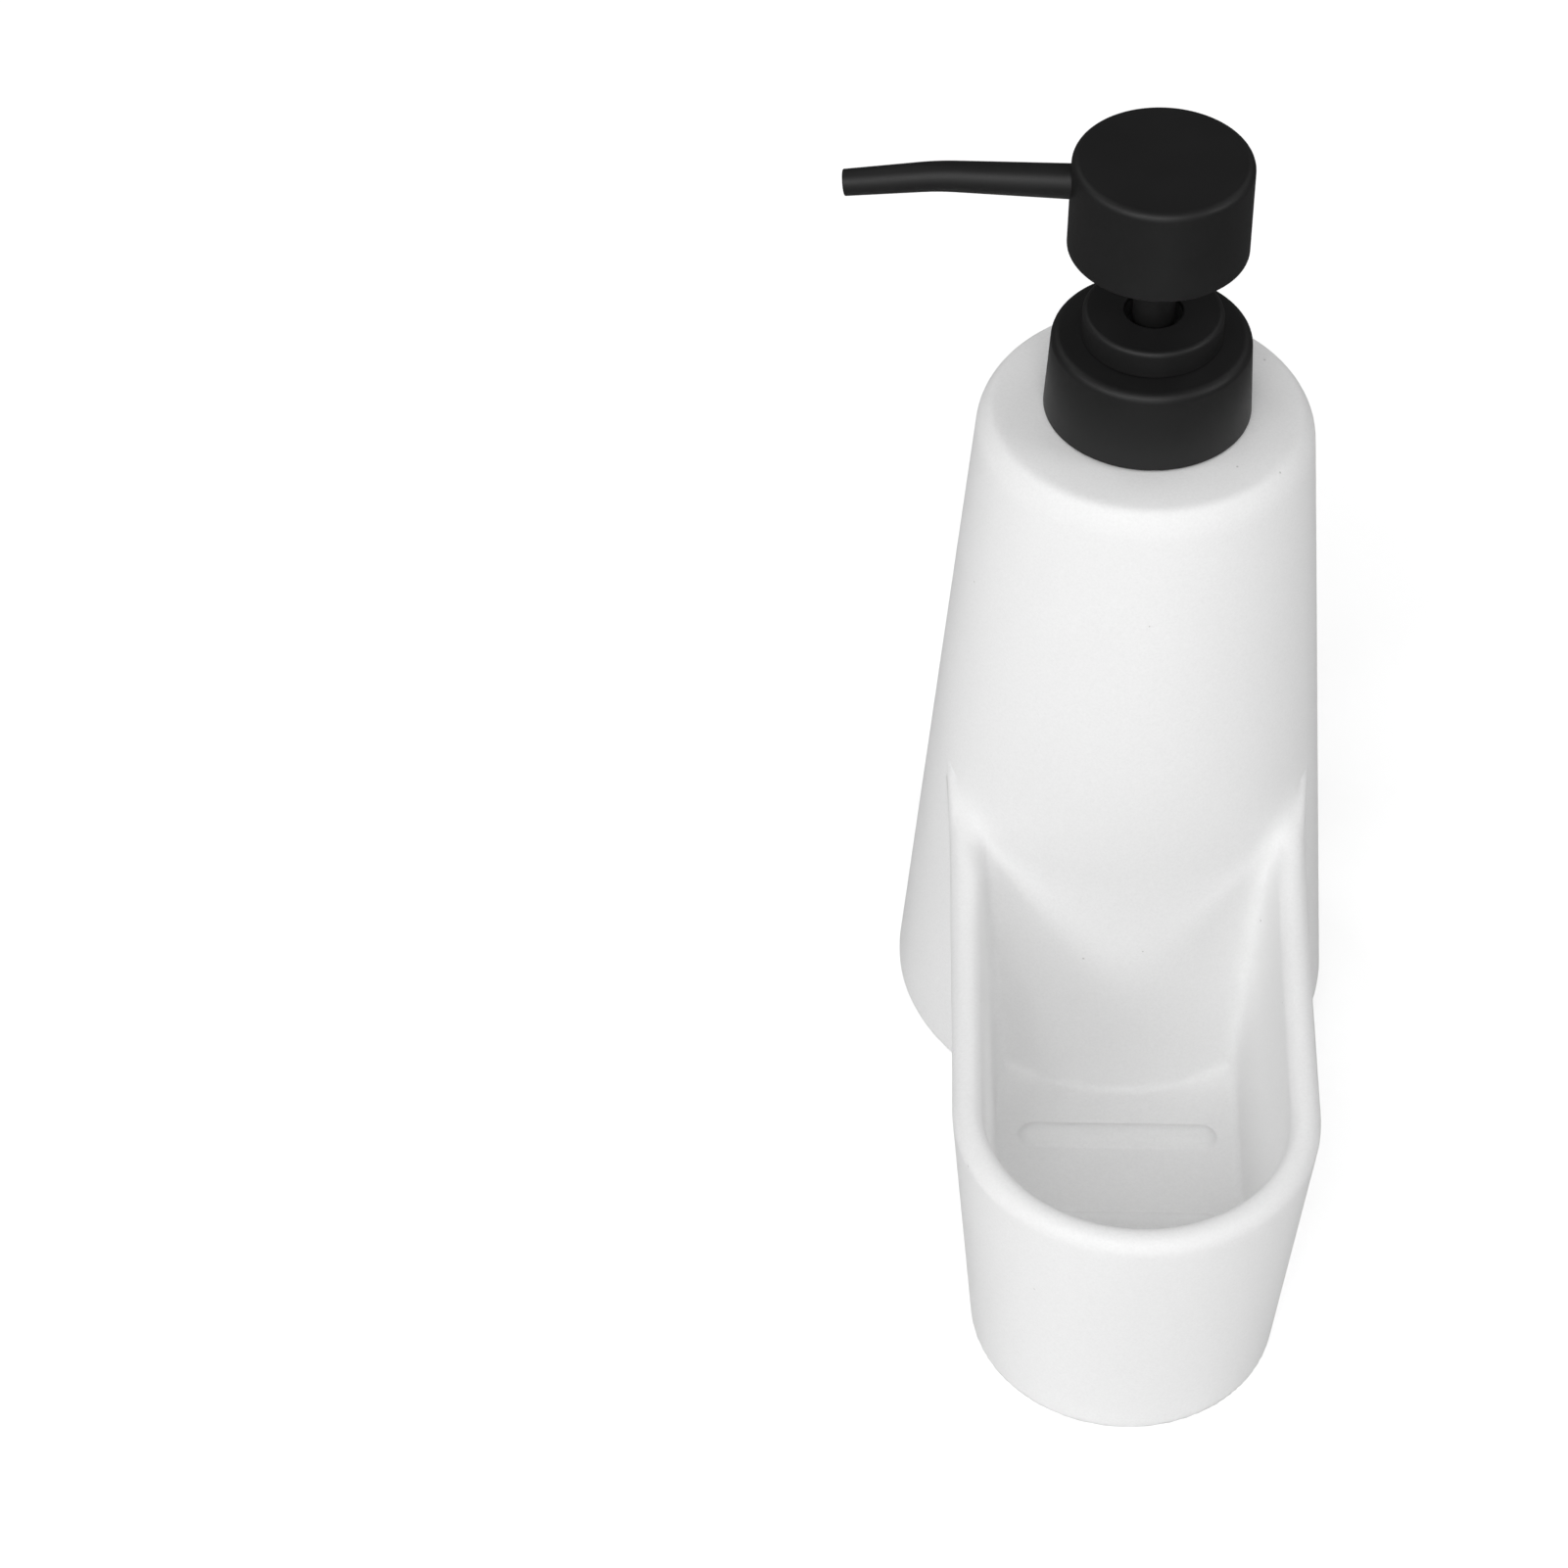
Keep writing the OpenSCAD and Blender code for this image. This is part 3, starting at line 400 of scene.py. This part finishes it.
for rib_y in RIB_Y:
    half = [(bar, rib_y - x, FLOOR - SEAM + z) for x, z in profile]
    rib = draw("rib_form", [tuple(c * MM for c in point) for point in half])
    turn(24, angle=-math.pi, centre=(bar * MM, rib_y * MM, 0))
    select_where(lambda c: abs(c.x - bar * MM) < TINY)
    bpy.ops.mesh.select_mode(type="EDGE")
    pull((-bar * MM, 0, 0))
    bpy.ops.object.mode_set(mode="OBJECT")
    apply(rib, "MIRROR", "other end")
    edit(rib)
    close()
    ribs.append(rib)
print("rib box:", corners(rib).min(0).round(1), corners(rib).max(0).round(1))

# %% [markdown]
# ### The hollow
# Slip casting leaves the bottle hollow with one even wall, and the foot is pressed in a little so that the
# caddy stands on a ring. Each hollow is drawn as a solid of its own and cut away by a Boolean. Solidify
# would give an even wall too, but neither a level floor nor a straight bore at the mouth.

# %% Join the ribs, cut the chamber and the recess
CHAMBER_LOW, CHAMBER_HIGH, MOUTH_R = 7, 6, 12
low_z = FLOOR + CHAMBER_LOW
high_z = BOTTLE_H - WALL - CHAMBER_HIGH
section = ([(0, FLOOR)]
           + arc((bottle_x(low_z, WALL + CHAMBER_LOW), low_z), CHAMBER_LOW, -90, lean, 8)
           + arc((bottle_x(high_z, WALL + CHAMBER_HIGH), high_z), CHAMBER_HIGH, lean, 90, 8)
           + [(MOUTH_R, BOTTLE_H - WALL), (MOUTH_R, BOTTLE_H + WALL), (0, BOTTLE_H + WALL)])
chamber = draw("chamber_form", in_metres(section))
turn(128)
close()
RING, RECESS = 5, 1
back_r = BOTTLE_FOOT - FOOT_ROUND - RING
front_r = CUP_FOOT - CUP_ROUND - RING
cross = math.degrees(math.acos(front_r / back_r))
outline = arc((0, 0), back_r, -cross, 180 + cross, 96) + arc((0, -CUP_REACH), front_r, 180, 360, 48)
recess = draw("recess_form", [(x * MM, y * MM, -WALL * MM) for x, y in outline])
bpy.ops.mesh.edge_face_add()
pull((0, 0, (WALL + RECESS) * MM))
close()
for operation, tools in (("UNION", ribs), ("DIFFERENCE", [chamber, recess])):
    for tool in tools:
        apply(ceramic, "BOOLEAN", "join or cut", operation=operation, object=tool, solver="EXACT")
        bpy.data.objects.remove(tool)
bpy.ops.object.shade_smooth_by_angle(angle=math.radians(50), keep_sharp_edges=True)
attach(ceramic, "caddy")
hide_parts("ceramic_body")
print("ceramic:", count(ceramic), "triangles")

# %% [markdown]
# ## The spout
# A tapered metal tube, straight to the bend, then eight degrees down, and cut square. Its wall is drawn as
# a section, turned round the tube's own axis and then bent: each ring of corners is moved onto the bent
# line. A curve with a round bevel is quicker, but it gives no wall and no rounded edge at the tip.

# %% Turn and bend the spout
SPOUT_Z, SPOUT_TURN, SPOUT_R, TIP_R, TUBE_WALL = 182.0, 2.7, 2.9, 2.2, 0.5
HEAD_R, SPOUT_BACK, REACH = 14.95, 7.4, 51.6
BEND_START, BEND_L, BEND = 33, 6, math.radians(8.1)
tip_round = TUBE_WALL / 2
stations = [SPOUT_BACK, HEAD_R] + list(np.linspace(HEAD_R + 1, REACH - tip_round, 44))


def tube_r(s):
    """Outer radius of the tube at a distance from the head's axis."""
    return SPOUT_R - (SPOUT_R - TIP_R) * max(0, s - HEAD_R) / (REACH - HEAD_R)


section = ([(s, tube_r(s)) for s in stations]
           + arc((REACH - tip_round, tube_r(REACH) - tip_round), tip_round, 90, -90, 6)
           + [(s, tube_r(s) - TUBE_WALL) for s in reversed(stations)])
spout = draw("spout", in_metres(section + section[:1]))
turn(64, axis=(1, 0, 0))
close()
places = corners(spout)
bent = np.clip((places[:, 0] - BEND_START) / BEND_L, 0, 1) * BEND
past = np.maximum(0, places[:, 0] - BEND_START - BEND_L)
bend_r = BEND_L / BEND
middle_x = np.minimum(places[:, 0], BEND_START) + bend_r * np.sin(bent) + past * np.cos(bent)
middle_z = -bend_r * (1 - np.cos(bent)) - past * np.sin(bent)
across, up = places[:, 1], places[:, 2]
heading = math.radians(180 - SPOUT_TURN)
out = middle_x + up * np.sin(bent)
bent_places = np.stack([out * math.cos(heading) - across * math.sin(heading),
                        out * math.sin(heading) + across * math.cos(heading),
                        SPOUT_Z + middle_z + up * np.cos(bent)], axis=1)
place_corners(spout, bent_places)
bpy.ops.object.shade_smooth_by_angle(angle=math.radians(40))
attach(spout, "head")
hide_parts("spout_tube")
print("spout box:", bent_places.min(0).round(1), bent_places.max(0).round(1))

# %% [markdown]
# ## The return spring
# Eight turns of steel wire stand under the piston, out of sight. The end turns lie closed, so that the
# spring stands straight. The Screw modifier winds the wire's round section at an even pitch, and each ring
# of corners is then moved to the height of its turn. A bevelled curve would make a wire as well, but here
# the corners come in order, ring by ring, which makes that easy. The press stroke is read and printed.

# %% Wind the spring
COIL_R, WIRE_R, COIL_TURNS, CLOSED_TURNS, CLOSED_PITCH = 4.95, 0.45, 8, 1.2, 0.95
WIRE_SIDES, TURN_STEPS = 12, 40
ledge, top = (corner[2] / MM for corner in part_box("return_spring"))
stroke = next(joint["range_m"][1] for joint in frame["joints"] if joint["name"] == "pump_press") / MM
spring = draw("spring_wire", in_metres(arc((COIL_R, ledge + WIRE_R), WIRE_R, 0, 360, WIRE_SIDES)))
bpy.ops.mesh.remove_doubles(threshold=TINY)
bpy.ops.object.mode_set(mode="OBJECT")
rings, climb = COIL_TURNS * TURN_STEPS, top - ledge - 2 * WIRE_R
apply(spring, "SCREW", "wind", angle=COIL_TURNS * 2 * math.pi, screw_offset=climb * MM, steps=rings,
      render_steps=rings)
places = corners(spring)
turned = np.arange(len(places)) // WIRE_SIDES * COIL_TURNS / rings
closed = CLOSED_PITCH * CLOSED_TURNS
heights = np.interp(turned, [0, CLOSED_TURNS, COIL_TURNS - CLOSED_TURNS, COIL_TURNS],
                    [0, closed, climb - closed, climb])
places[:, 2] += heights - climb * turned / COIL_TURNS
place_corners(spring, places)
edit(spring)
close()
bpy.ops.object.shade_smooth_by_angle(angle=math.radians(50))
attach(spring, "pump")
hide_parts("return_spring")
1 - stroke / (top - ledge)
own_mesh(spring)
print("spring box:", places.min(0).round(1), places.max(0).round(1), "stroke", stroke)

# %% [markdown]
# ## Threads
# When the collar is unscrewed and the pump lifted out, two threads come to light: a ridge round the white
# neck and its partner inside the closure. Each is a small section that the Screw modifier winds up, as it
# needs only the section, the pitch and the number of turns, where a curve would have to be plotted. The
# real ridges overlap. These are a little shallower, because the closure turns on the spot in this model.


# %% Wind the threads
PITCH, THREAD_STEPS = 4.2, 72


def thread(name, body, root, crest, low, pitch, turns):
    """A helical ridge whose section tapers from root to crest. Root and crest are radii."""
    half_root, half_crest = pitch * 0.3, pitch * 0.12
    section = [(root, low - half_root), (crest, low - half_crest), (crest, low + half_crest),
               (root, low + half_root)]
    ridge = draw(name, in_metres(section + section[:1]))
    bpy.ops.mesh.remove_doubles(threshold=TINY)
    bpy.ops.object.mode_set(mode="OBJECT")
    steps = round(THREAD_STEPS * turns)
    apply(ridge, "SCREW", "wind", angle=turns * 2 * math.pi, screw_offset=pitch * turns * MM, steps=steps,
          render_steps=steps, use_smooth_shade=False)
    edit(ridge)
    close()
    apply(ridge, "BEVEL", "soft edges", width=0.1 * MM, segments=2, limit_method="ANGLE")
    bpy.ops.object.shade_smooth_by_angle(angle=math.radians(40))
    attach(ridge, body)
    return ridge


neck_thread = thread("neck_thread", "caddy", root=12.4, crest=13.1, low=139.6,
                     pitch=PITCH, turns=1.15)
closure_thread = thread("closure_thread", "closure", root=14.0, crest=13.3, low=140.6,
                        pitch=PITCH, turns=1.4)
print("threads:", count(neck_thread), count(closure_thread), "triangles")

# %% [markdown]
# ## Finishes
# Shader maths reads best as plain sums. One small class wraps a socket so that Python's operators add the
# Math nodes, and one more holds a material and makes any other node from its type, settings and inputs.
# The nodes could be added and linked one by one too, but the formulas would get lost among those lines.


# %% Sockets that can be added and multiplied
class Value:
    """A node's output that Python's operators can work with."""

    def __init__(self, finish, socket):
        self.finish, self.socket = finish, socket

    def maths(self, operation, first, second=0):
        return self.finish.node("ShaderNodeMath", {"operation": operation}, {0: first, 1: second})

    def __add__(self, other):
        return self.maths("ADD", self, other)

    def __radd__(self, other):
        return self.maths("ADD", other, self)

    def __sub__(self, other):
        return self.maths("SUBTRACT", self, other)

    def __mul__(self, other):
        return self.maths("MULTIPLY", self, other)

    def __rmul__(self, other):
        return self.maths("MULTIPLY", other, self)

    def clipped(self):
        """Held between 0 and 1."""
        return self.finish.node("ShaderNodeMath", {"operation": "ADD", "use_clamp": True}, {0: self, 1: 0})

    def size(self):
        return self.maths("ABSOLUTE", self)

    def above_zero(self):
        return self.maths("MAXIMUM", self)


class Finish:
    """A material whose nodes are made by one method."""

    def __init__(self, name, **constants):
        self.material = bpy.data.materials.new(name)
        self.material.use_nodes = True
        self.tree = self.material.node_tree
        self.shader = self.tree.nodes["Principled BSDF"]
        self.place = self.node("ShaderNodeTexCoord", output="Object")
        for socket, value in constants.items():
            self.shader.inputs[socket.replace("_", " ")].default_value = value

    def node(self, kind, settings=None, inputs=None, output=0):
        node = self.tree.nodes.new(kind)
        for key, value in (settings or {}).items():
            setattr(node, key, value)
        for key, value in (inputs or {}).items():
            if isinstance(value, Value):
                self.tree.links.new(value.socket, node.inputs[key])
            else:
                node.inputs[key].default_value = value
        return Value(self, node.outputs[output])

    def along_axes(self):
        """The place in millimetres, as three values."""
        node = self.node("ShaderNodeSeparateXYZ", None, {0: self.place}).socket.node
        return [Value(self, socket) * (1 / MM) for socket in node.outputs]

    def distance(self, first, second):
        """How far off a place is whose two offsets, square to each other, are these."""
        squares = first * first + second * second
        return squares.maths("SQRT", squares)

    def noise(self, size, detail=2, roughness=0.5):
        """Noise from 0 to 1 whose blots are about that many millimetres across."""
        return self.node("ShaderNodeTexNoise", None, {
            "Vector": self.place, "Scale": 1 / (size * MM), "Detail": detail, "Roughness": roughness})

    def blend(self, factor, first, second):
        """A colour between two colours."""
        return self.node("ShaderNodeMix", {"data_type": "RGBA"}, {0: factor, 6: first, 7: second}, output=2)

    def ramp(self, factor, low, high):
        """0 at low, 1 at high, straight between them and level beyond. Low may be the larger."""
        return self.node("ShaderNodeMapRange", None, {0: factor, 1: low, 2: high, 3: 0, 4: 1})

    def feed(self, socket, value):
        self.tree.links.new(value.socket, self.shader.inputs[socket])

    def bump(self, height, depth, strength=1.0):
        """Small relief, depth in millimetres."""
        self.feed("Normal", self.node("ShaderNodeBump", None, {
            "Height": height, "Distance": depth * MM, "Strength": strength}))


def grey(level, tint=(1, 1, 1)):
    """A grey, with a slight tint where one is given."""
    return tuple(level * t for t in tint) + (1,)


def paint(finish, *pieces):
    """Gives pieces a finish. A name stands for a piece of the CAD model."""
    for piece in pieces:
        target = frame["nodes"][piece] if isinstance(piece, str) else piece
        target.data.materials.clear()
        target.data.materials.append(finish.material)


# %% [markdown]
# ### Matt glaze
# The glaze is a soft white with a fine, sandy grain, faint clouds where it lies thicker, and here and there
# a pinhole where a bubble opened in the kiln. Along the crisp line between the cup and the bottle, painted
# shade stands in for the shade in that crease: a thin line of darker colour where the distances to both
# forms are small, worked out as in the code above, with the rim's rise taken as straight on this short
# stretch. All this could be painted on a texture too, but noise needs no unwrapping and stays fine when the
# eye comes near.

# %% Mix the glaze
# The last two widths, in millimetres, set the line of painted shade in the crease between cup and bottle.
PINHOLE, PINHOLE_EDGE, CREASE_SHADE_CORE, CREASE_SHADE_EDGE = 0.016, 0.026, 0.12, 0.34
glaze = Finish("matt_white_glaze", Specular_IOR_Level=0.4)
clouds = glaze.noise(26, detail=3)
grain = glaze.noise(0.42, detail=2, roughness=0.6)
ripple = glaze.noise(7, detail=2)
cells = glaze.node("ShaderNodeTexVoronoi", {"feature": "F1"},
                   {"Vector": glaze.place, "Scale": 1 / (9 * MM), "Randomness": 1.0})
pinhole = glaze.ramp(cells, PINHOLE_EDGE, PINHOLE)
x, y, z = glaze.along_axes()
low_y, high_y = -28, -20
rim_low, rim_high = (RIM_Z + float(rise(CUP_REACH + end)) for end in (low_y, high_y))
rim_climb = (rim_high - rim_low) / (high_y - low_y)
outwards = (x.size() - CUP_FOOT - z * math.tan(DRAFT)) * math.cos(DRAFT) + RIM_R
upwards = (z - rim_low - (y - low_y) * rim_climb).above_zero()
off_rim = glaze.distance(outwards, upwards) - RIM_R
off_cone = glaze.distance(x, y) - BOTTLE_FOOT + z * math.tan(LEAN)
# Painted shade: a thin darker line along the outer crease between the cup and the bottle, standing in for
# the shade that falls in that corner.
painted_crease_shade = (glaze.ramp(glaze.distance(off_rim, off_cone), CREASE_SHADE_EDGE, CREASE_SHADE_CORE) * glaze.ramp(outwards, 0.3, 0.8)
        * glaze.ramp(y, -1, -3))
body_colour = glaze.blend(clouds, grey(0.91, (1, 1, 0.998)), grey(0.94))
grainy = glaze.blend(glaze.ramp(grain, 0.35, 0.75) * 0.5, body_colour, grey(0.83))
holed = glaze.blend(pinhole * 0.5, grainy, grey(0.35, (1, 0.97, 0.93)))
# The base colour is darkened towards a warm grey along that line of painted shade.
glaze.feed("Base Color", glaze.blend(painted_crease_shade * 0.6, holed, grey(0.45, (1, 0.98, 0.95))))
glaze.feed("Roughness", 0.46 + 0.12 * clouds + 0.1 * grain)
glaze.bump(grain * 0.35 + ripple * 0.5 - pinhole * 1.5, 0.05, 0.6)
paint(glaze, ceramic)

# %% [markdown]
# ### Black coated metal
# The collar, its ring, the head and the spout are drawn metal with a matt black coating. The coating is
# sprayed, so it has a very fine grain, and handling has changed its gloss a little in soft patches. It
# hides the metal everywhere, so the shader is that of a paint and not of a metal.

# %% Spray the metal
coat = Finish("matt_black_coating", Specular_IOR_Level=0.4)
grain = coat.noise(0.22, detail=2, roughness=0.6)
wear = coat.noise(9, detail=3)
coat.feed("Base Color", coat.blend(wear, grey(0.007), grey(0.010, (1, 1, 1.03))))
coat.feed("Roughness", 0.43 + 0.08 * wear + 0.08 * grain)
coat.bump(grain, 0.012, 0.5)
paint(coat, "collar_shell", "guide_ring", "head_shell", spout)

# %% [markdown]
# ### Moulded plastics
# Inside the metal the pump is plastic: black where it shows between the metal pieces, white or milky below
# them. A mould leaves a soft mottle in the gloss and a faint flow in the colour. One function mixes them
# all, because they differ only in colour, in gloss and in how much light they let through.


# %% Mould the plastics
def plastic(name, dark, light, gloss, **constants):
    """A plastic between two colours. Gloss is the roughness of its smoothest places."""
    finish = Finish(name, **constants)
    flow = finish.noise(12, detail=2)
    mottle = finish.noise(0.8, detail=3)
    finish.feed("Base Color", finish.blend(flow, dark, light))
    finish.feed("Roughness", gloss + 0.08 * flow + 0.08 * mottle)
    finish.bump(mottle, 0.01, 0.4)
    return finish


paint(plastic("black_moulding", grey(0.032), grey(0.042), 0.36), "closure_cap", "chaplet", "actuator_core",
      closure_thread)
paint(plastic("black_stem", grey(0.009), grey(0.014), 0.28), "stem")
paint(plastic("white_moulding", grey(0.66, (1, 1, 0.97)), grey(0.74, (1, 1, 0.98)), 0.34),
      "neck_adapter", "pump_housing", "stem_foot", neck_thread)
paint(plastic("piston_plastic", grey(0.60, (1, 1, 0.98)), grey(0.68, (1, 1, 0.99)), 0.42), "piston_seal")
paint(plastic("milky_tube", grey(0.60, (0.96, 1, 1.02)), grey(0.70, (0.97, 1, 1.02)), 0.22,
              Transmission_Weight=0.45), "dip_tube")
paint(plastic("seal_rubber", grey(0.13), grey(0.17), 0.62), "adapter_seal", "gasket")

# %% [markdown]
# ### Steel
# The spring is drawn wire, with fine lines along it. A noise squeezed in height gives them, because the
# wire runs nearly level, and so it needs no unwrapping. The valve balls are polished and show only a little
# wear.

# %% Draw the steel
wire = Finish("drawn_wire", Metallic=1.0)
lines = wire.node("ShaderNodeTexNoise", None, {
    "Vector": wire.node("ShaderNodeMapping", None, {"Vector": wire.place, "Scale": (1, 1, 6)}),
    "Scale": 1 / (1.2 * MM), "Detail": 3})
wire.feed("Base Color", wire.blend(lines, grey(0.42), grey(0.60, (1, 0.99, 0.97))))
wire.feed("Roughness", 0.22 + 0.2 * lines)
wire.bump(lines, 0.01, 0.5)
paint(wire, spring)
polished = Finish("polished_steel", Metallic=1.0)
haze = polished.noise(1.5, detail=3)
polished.feed("Base Color", polished.blend(haze, grey(0.55), grey(0.66)))
polished.feed("Roughness", 0.08 + 0.12 * haze)
polished.bump(haze, 0.003, 0.4)
paint(polished, "inlet_ball", "outlet_ball")

# %% [markdown]
# ## Studio
# A white table that runs out of sight, soft boxes in front, on both sides and behind, and a dim room. The
# white of the background is given to camera and transmission rays only, so it adds no light to the object.
# Near the object the table glows only weakly, so that it still takes the shadow. Between NEAR and FAR the
# glow grows, so that the table meets the white room without a line. A brighter lamp would whiten the table
# too, but the ceramic with it. In the photograph the black pump mirrors next to nothing of a white room: its
# sides and tops stay dark. So mirrored rays find a darker table and a darker room here.

# %% Lay the table
MIRRORED_TABLE, ROOM, MIRRORED_ROOM, GLOW = 0.18, 0.17, 0.06, 0.4
NEAR, FAR = 0.3, 1.5
bpy.ops.object.select_all(action="DESELECT")
bpy.ops.mesh.primitive_plane_add(size=12)
table = bpy.context.object
table.name = "table"
cloth = Finish("white_table", Roughness=0.9, Specular_IOR_Level=0.0)
speckle = cloth.noise(3, detail=2)
rays = cloth.tree.nodes.new("ShaderNodeLightPath")
mirrored = Value(cloth, rays.outputs["Is Glossy Ray"])
white_cloth = cloth.blend(speckle, grey(0.88), grey(0.90))
cloth.feed("Base Color", cloth.blend(mirrored, white_cloth, grey(MIRRORED_TABLE)))
seen = (Value(cloth, rays.outputs["Is Camera Ray"])
        + Value(cloth, rays.outputs["Is Transmission Ray"])).clipped()
x, y, _ = cloth.along_axes()
far_off = cloth.ramp(cloth.distance(x, y), NEAR / MM, FAR / MM)
glow = cloth.node("ShaderNodeEmission", None,
                  {"Color": grey(1.0), "Strength": GLOW + (1 - GLOW) * far_off})
lit = Value(cloth, cloth.shader.outputs[0])
both = cloth.node("ShaderNodeAddShader", None, {0: lit, 1: glow})
mixed = cloth.node("ShaderNodeMixShader", None, {0: seen, 1: lit, 2: both})
cloth.tree.links.new(mixed.socket, cloth.tree.nodes["Material Output"].inputs["Surface"])
paint(cloth, table)

# %% [markdown]
# ### Room and lamps
# The room is one even colour, because the picture of a real room would show in the gloss. The lamps stand
# on a sphere round the object, so that each needs only two angles, a size and a power, and they stay out of
# the camera's sight. The one straight behind is left out of mirrored rays as well, because it would shine in
# the flat tops of the pump.

# %% Light the room
room = bpy.data.worlds.new("studio")
bpy.context.scene.world = room
room.use_nodes = True
nodes, links = room.node_tree.nodes, room.node_tree.links
rays = nodes.new("ShaderNodeLightPath")
level = nodes.new("ShaderNodeMapRange")
level.inputs[3].default_value, level.inputs[4].default_value = ROOM, MIRRORED_ROOM
links.new(rays.outputs["Is Glossy Ray"], level.inputs[0])
soft = nodes["Background"]
soft.inputs["Color"].default_value = grey(1.0)
links.new(level.outputs[0], soft.inputs["Strength"])
white = nodes.new("ShaderNodeBackground")
white.inputs["Color"].default_value = grey(1.0)
white.inputs["Strength"].default_value = 1.0
seen = nodes.new("ShaderNodeMath")
seen.use_clamp = True
links.new(rays.outputs["Is Camera Ray"], seen.inputs[0])
links.new(rays.outputs["Is Transmission Ray"], seen.inputs[1])
choose = nodes.new("ShaderNodeMixShader")
links.new(seen.outputs[0], choose.inputs[0])
links.new(soft.outputs[0], choose.inputs[1])
links.new(white.outputs[0], choose.inputs[2])
links.new(choose.outputs[0], nodes["World Output"].inputs["Surface"])


# %% Set up the soft boxes
AIM = Vector((0, -0.04, 0.08))
DISTANCE = 1.4


def soft_box(name, turned, raised, size, power, mirrored=True):
    """A square lamp aimed at the object. Turned (to the right of the front) and raised are in degrees."""
    light = bpy.data.lights.new(name, "AREA")
    light.size, light.energy = size, power
    box = bpy.data.objects.new(name, light)
    box.visible_camera = False
    box.visible_glossy = mirrored
    bpy.context.scene.collection.objects.link(box)
    side, up = math.radians(turned), math.radians(raised)
    away = Vector((math.sin(side) * math.cos(up), -math.cos(side) * math.cos(up), math.sin(up)))
    box.location = AIM + away * DISTANCE
    box.rotation_euler = (-away).to_track_quat("-Z", "Y").to_euler()


soft_box("front_box", -6, 45, 0.8, 8.0)
soft_box("low_box", 0, 8, 0.5, 1.5)
soft_box("left_box", -42, 30, 0.5, 3.7)
soft_box("left_side_box", -75, 35, 0.5, 2.2)
soft_box("right_side_box", 75, 35, 0.5, 3.7)
soft_box("left_back_box", -130, 45, 0.5, 1.5)
soft_box("right_back_box", 130, 45, 0.5, 1.2)
soft_box("back_box", 180, 12, 0.6, 3.0, mirrored=False)

# %% [markdown]
# ## Camera
# The photograph looks down on the cup at forty-five degrees from a little over half a metre, through a long
# lens. The place and the lens were fitted to the outlines of the bottle, the cup and the pump.

# %% Place the camera
FOCAL_LENGTH, SENSOR, TILT, PAN = 109.436, 36, 45.143, 1.2605
lens = bpy.data.cameras.new("camera")
lens.lens = FOCAL_LENGTH
lens.sensor_width = SENSOR
camera = bpy.data.objects.new("camera", lens)
bpy.context.scene.collection.objects.link(camera)
camera.location = (-0.047493, -0.613518, 0.655194)
camera.rotation_euler = (math.radians(TILT), 0, math.radians(PAN))
bpy.context.scene.camera = camera
bpy.context.scene.view_settings.view_transform = "Standard"
